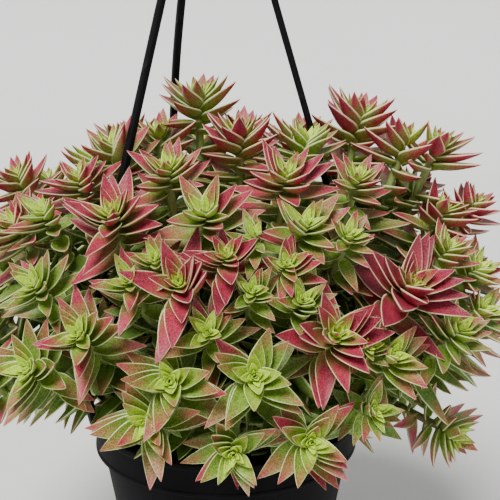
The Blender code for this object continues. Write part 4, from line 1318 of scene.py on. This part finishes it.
def leaf_material():
    """Green to crimson by the blush, paler in the heart, with light margins and fine papillae."""
    g = Graph("leaf")
    along, across, under = g.values("leaf_place")
    blush, chance, age = g.values("leaf_look")
    patches = g.noise(0.16, 2.0)
    mottle = g.noise(0.8, 3.0, 0.6)
    fine = g.noise(1.7, 2.0)
    grain = g.noise(4.5, 2.0)
    wide = g.add(g.math("ABSOLUTE", across), g.times(fine, 0.10), -0.05)
    grown = g.ramp(age, 0.22, 0.8)
    aged = g.ramp(age, 1.05, 1.6)

    green = g.mix(grown, srgb(222, 250, 56), srgb(102, 138, 34))
    green = g.mix(g.ramp(along, 0.0, 0.55, 0.45, 0.0), green, srgb(176, 216, 66))
    green = g.mix(g.ramp(mottle, 0.35, 0.7, 0.0, 0.45), green, g.mix(grown, srgb(150, 196, 40), srgb(60, 90, 22)))
    green = g.mix(g.times(aged, 0.6), green, srgb(96, 140, 56))

    spot = g.tree.nodes.new("ShaderNodeSeparateXYZ")
    g.tree.links.new(g.spot, spot.inputs[0])
    sunny = g.add(g.ramp(spot.outputs[2], 140.0, 225.0, 0.0, 0.26), g.ramp(spot.outputs[0], 10.0, 100.0, 0.0, 0.14))
    push = g.add(blush, g.times(chance, 0.30), g.ramp(chance, 0.89, 0.94, 0.0, 0.3), g.times(along, 1.1),
                 g.times(patches, 0.7), g.times(grown, 0.75), g.times(under, -0.06), g.times(aged, -0.25),
                 g.times(g.times(wide, wide), -0.22), sunny, -1.86)
    flush = g.ramp(push, 0.2, 0.9)
    tan = g.ramp(push, 0.0, 0.4)
    rose = g.ramp(push, 0.42, 0.86)
    deep = g.ramp(g.add(push, g.times(mottle, 0.3)), 0.85, 1.5, 0.0, 0.8)
    body = g.mix(g.times(tan, 0.9), green, g.mix(mottle, srgb(136, 102, 46), srgb(150, 84, 64)))
    body = g.mix(rose, body, srgb(166, 34, 62))
    body = g.mix(deep, body, srgb(112, 12, 38))
    body = g.mix(g.times(under, 0.25), body, g.mix(flush, srgb(130, 160, 76), srgb(156, 32, 58)))

    body = g.mix(g.ramp(fine, 0.42, 0.62, 0.0, 0.22), body, g.mix(flush, srgb(204, 220, 124), srgb(222, 118, 128)))
    body = g.mix(g.ramp(fine, 0.34, 0.5, 0.34, 0.0), body, g.mix(flush, srgb(52, 80, 18), srgb(84, 10, 28)))
    spots = g.ramp(g.cells(2.3), 0.10, 0.26, 1.0, 0.0)
    body = g.mix(g.times(spots, g.ramp(wide, 0.3, 1.0, 0.18, 0.4)), body,
                 g.mix(flush, srgb(224, 232, 168), srgb(238, 180, 176)))
    edge = g.times(g.ramp(wide, 0.88, 0.95), g.ramp(grain, 0.25, 0.6, 0.6, 1.0))
    rim = g.mix(flush, g.mix(grown, srgb(240, 252, 140), srgb(232, 236, 172)), srgb(246, 216, 176))
    body = g.mix(g.times(edge, 0.92), body, rim)
    g.bump(g.add(g.times(spots, 0.8), g.times(grain, 0.5), g.times(fine, 0.9)), 0.16, 0.7)
    return g.surface(body, g.ramp(mottle, 0.3, 0.7, 0.38, 0.52), Specular_IOR_Level=0.45,
                     Subsurface_Weight=0.1, Subsurface_Radius=(0.002, 0.0014, 0.0005))


def stem_material():
    g = Graph("stem")
    patches = g.noise(0.12, 2.0)
    streaks = g.noise(1.3, 3.0, 0.6, (1.0, 1.0, 0.25))
    low = g.tree.nodes.new("ShaderNodeSeparateXYZ")
    g.tree.links.new(g.spot, low.inputs[0])
    woody = g.ramp(g.add(low.outputs[2], g.times(patches, 26.0)), 98.0, 128.0, 1.0, 0.0)
    colour = g.mix(g.ramp(streaks, 0.3, 0.7), srgb(140, 160, 88), srgb(164, 182, 112))
    colour = g.mix(g.ramp(patches, 0.55, 0.75, 0.0, 0.4), colour, srgb(160, 110, 84))
    colour = g.mix(woody, colour, g.mix(streaks, srgb(96, 78, 54), srgb(140, 120, 88)))
    g.bump(g.add(streaks, g.times(g.noise(4.0), 0.4)), 0.25, 0.6)
    return g.surface(colour, g.ramp(streaks, 0.3, 0.7, 0.5, 0.65), Specular_IOR_Level=0.35)


def plastic_material(name, dark, light, rough):
    """Satin moulded plastic with faint flow, fine scratches and a little dust."""
    g = Graph(name)
    flow = g.noise(0.05, 3.0, 0.55, (1.0, 1.0, 0.3))
    scratch = g.ramp(g.noise(1.6, 4.0, 0.7, (1.0, 1.0, 0.08)), 0.62, 0.72)
    dust = g.ramp(g.noise(0.5, 5.0, 0.7), 0.56, 0.78)
    colour = g.mix(flow, dark, light)
    colour = g.mix(g.times(scratch, 0.2), colour, srgb(28, 26, 29))
    colour = g.mix(g.times(dust, 0.07), colour, srgb(56, 52, 50))
    grain = g.noise(3.2, 2.0)
    g.bump(g.add(g.times(grain, 0.5), g.times(scratch, 0.6)), 0.05, 0.5)
    shine = g.add(g.times(flow, 0.12), g.times(dust, 0.18), rough - 0.06)
    return g.surface(colour, shine, Specular_IOR_Level=0.1)


def peat_material():
    g = Graph("peat")
    white, chance, _ = g.values("leaf_look")
    clods = g.noise(0.35, 4.0, 0.65)
    fibre = g.noise(1.6, 4.0, 0.7, (1.0, 0.3, 1.0))
    colour = g.mix(g.ramp(clods, 0.3, 0.7), srgb(34, 24, 18), srgb(72, 52, 36))
    colour = g.mix(g.ramp(fibre, 0.55, 0.72, 0.0, 0.6), colour, srgb(112, 84, 54))
    colour = g.mix(g.ramp(chance, 0.5, 1.0, 0.0, 0.4), colour, srgb(88, 66, 46))
    colour = g.mix(white, colour, srgb(214, 210, 198))
    g.bump(g.add(clods, g.times(fibre, 0.6), g.times(g.noise(4.5, 3.0), 0.4)), 0.5, 0.8)
    return g.surface(colour, g.ramp(clods, 0.3, 0.7, 0.85, 0.98), Specular_IOR_Level=0.25)


# Stage, light and camera


def make_stage():
    """A plain pale floor that sweeps up behind, under one broad soft light from above."""
    side = 3.0
    line = [(-side, 0.0), (1.2, 0.0)]
    for k in range(1, 13):
        a = math.radians(90.0 * k / 12)
        line.append((1.2 + 0.8 * math.sin(a), 0.8 - 0.8 * math.cos(a)))
    line.append((2.0, 3.0))
    points = [(x, y, z) for y, z in line for x in (-side, side)]
    faces = [(2 * k, 2 * k + 1, 2 * k + 3, 2 * k + 2) for k in range(len(line) - 1)]
    mesh = bpy.data.meshes.new("floor")
    mesh.from_pydata(points, [], faces)
    mesh.shade_smooth()
    g = Graph("floor")
    soft = g.noise(0.004, 2.0)
    mesh.materials.append(g.surface(g.mix(soft, srgb(216, 215, 212), srgb(221, 220, 217)), 0.8))
    floor = bpy.data.objects.new("floor", mesh)
    bpy.context.scene.collection.objects.link(floor)

    world = bpy.data.worlds.new("studio")
    world.use_nodes = True
    back = world.node_tree.nodes["Background"]
    back.inputs["Color"].default_value = (0.86, 0.90, 0.96, 1.0)
    back.inputs["Strength"].default_value = 0.36
    bpy.context.scene.world = world

    for name, place, spread, power in (("key", (-0.35, -0.75, 1.15), 30.0, 5.2),
                                       ("rim", (0.5, 0.8, 0.9), 40.0, 1.0)):
        lamp = bpy.data.lights.new(name, "SUN")
        lamp.angle = math.radians(spread)
        lamp.energy = power
        light = bpy.data.objects.new(name, lamp)
        light.location = place
        light.rotation_euler = (-Vector(place)).to_track_quat("-Z", "Y").to_euler()
        bpy.context.scene.collection.objects.link(light)


def make_camera():
    data = bpy.data.cameras.new("photograph")
    data.sensor_width = SENSOR
    data.lens = SENSOR * FOCAL_PIXELS / FRAME_PIXELS
    data.clip_start = 0.01
    camera = bpy.data.objects.new("photograph", data)
    camera.location = EYE * MM
    camera.rotation_euler = (math.radians(90.0 - EYE_PITCH), 0.0, 0.0)
    bpy.context.scene.collection.objects.link(camera)
    bpy.context.scene.camera = camera


make_camera()
make_stage()
black = plastic_material("hanger_plastic", srgb(10, 10, 11), srgb(15, 15, 16), 0.5)
make_pot(plastic_material("pot_plastic", srgb(7, 6, 9), srgb(11, 9, 13), 0.68))
make_soil(peat_material())
make_hook(black)
make_shoots([leaf_material(), stem_material()], make_strands(black))
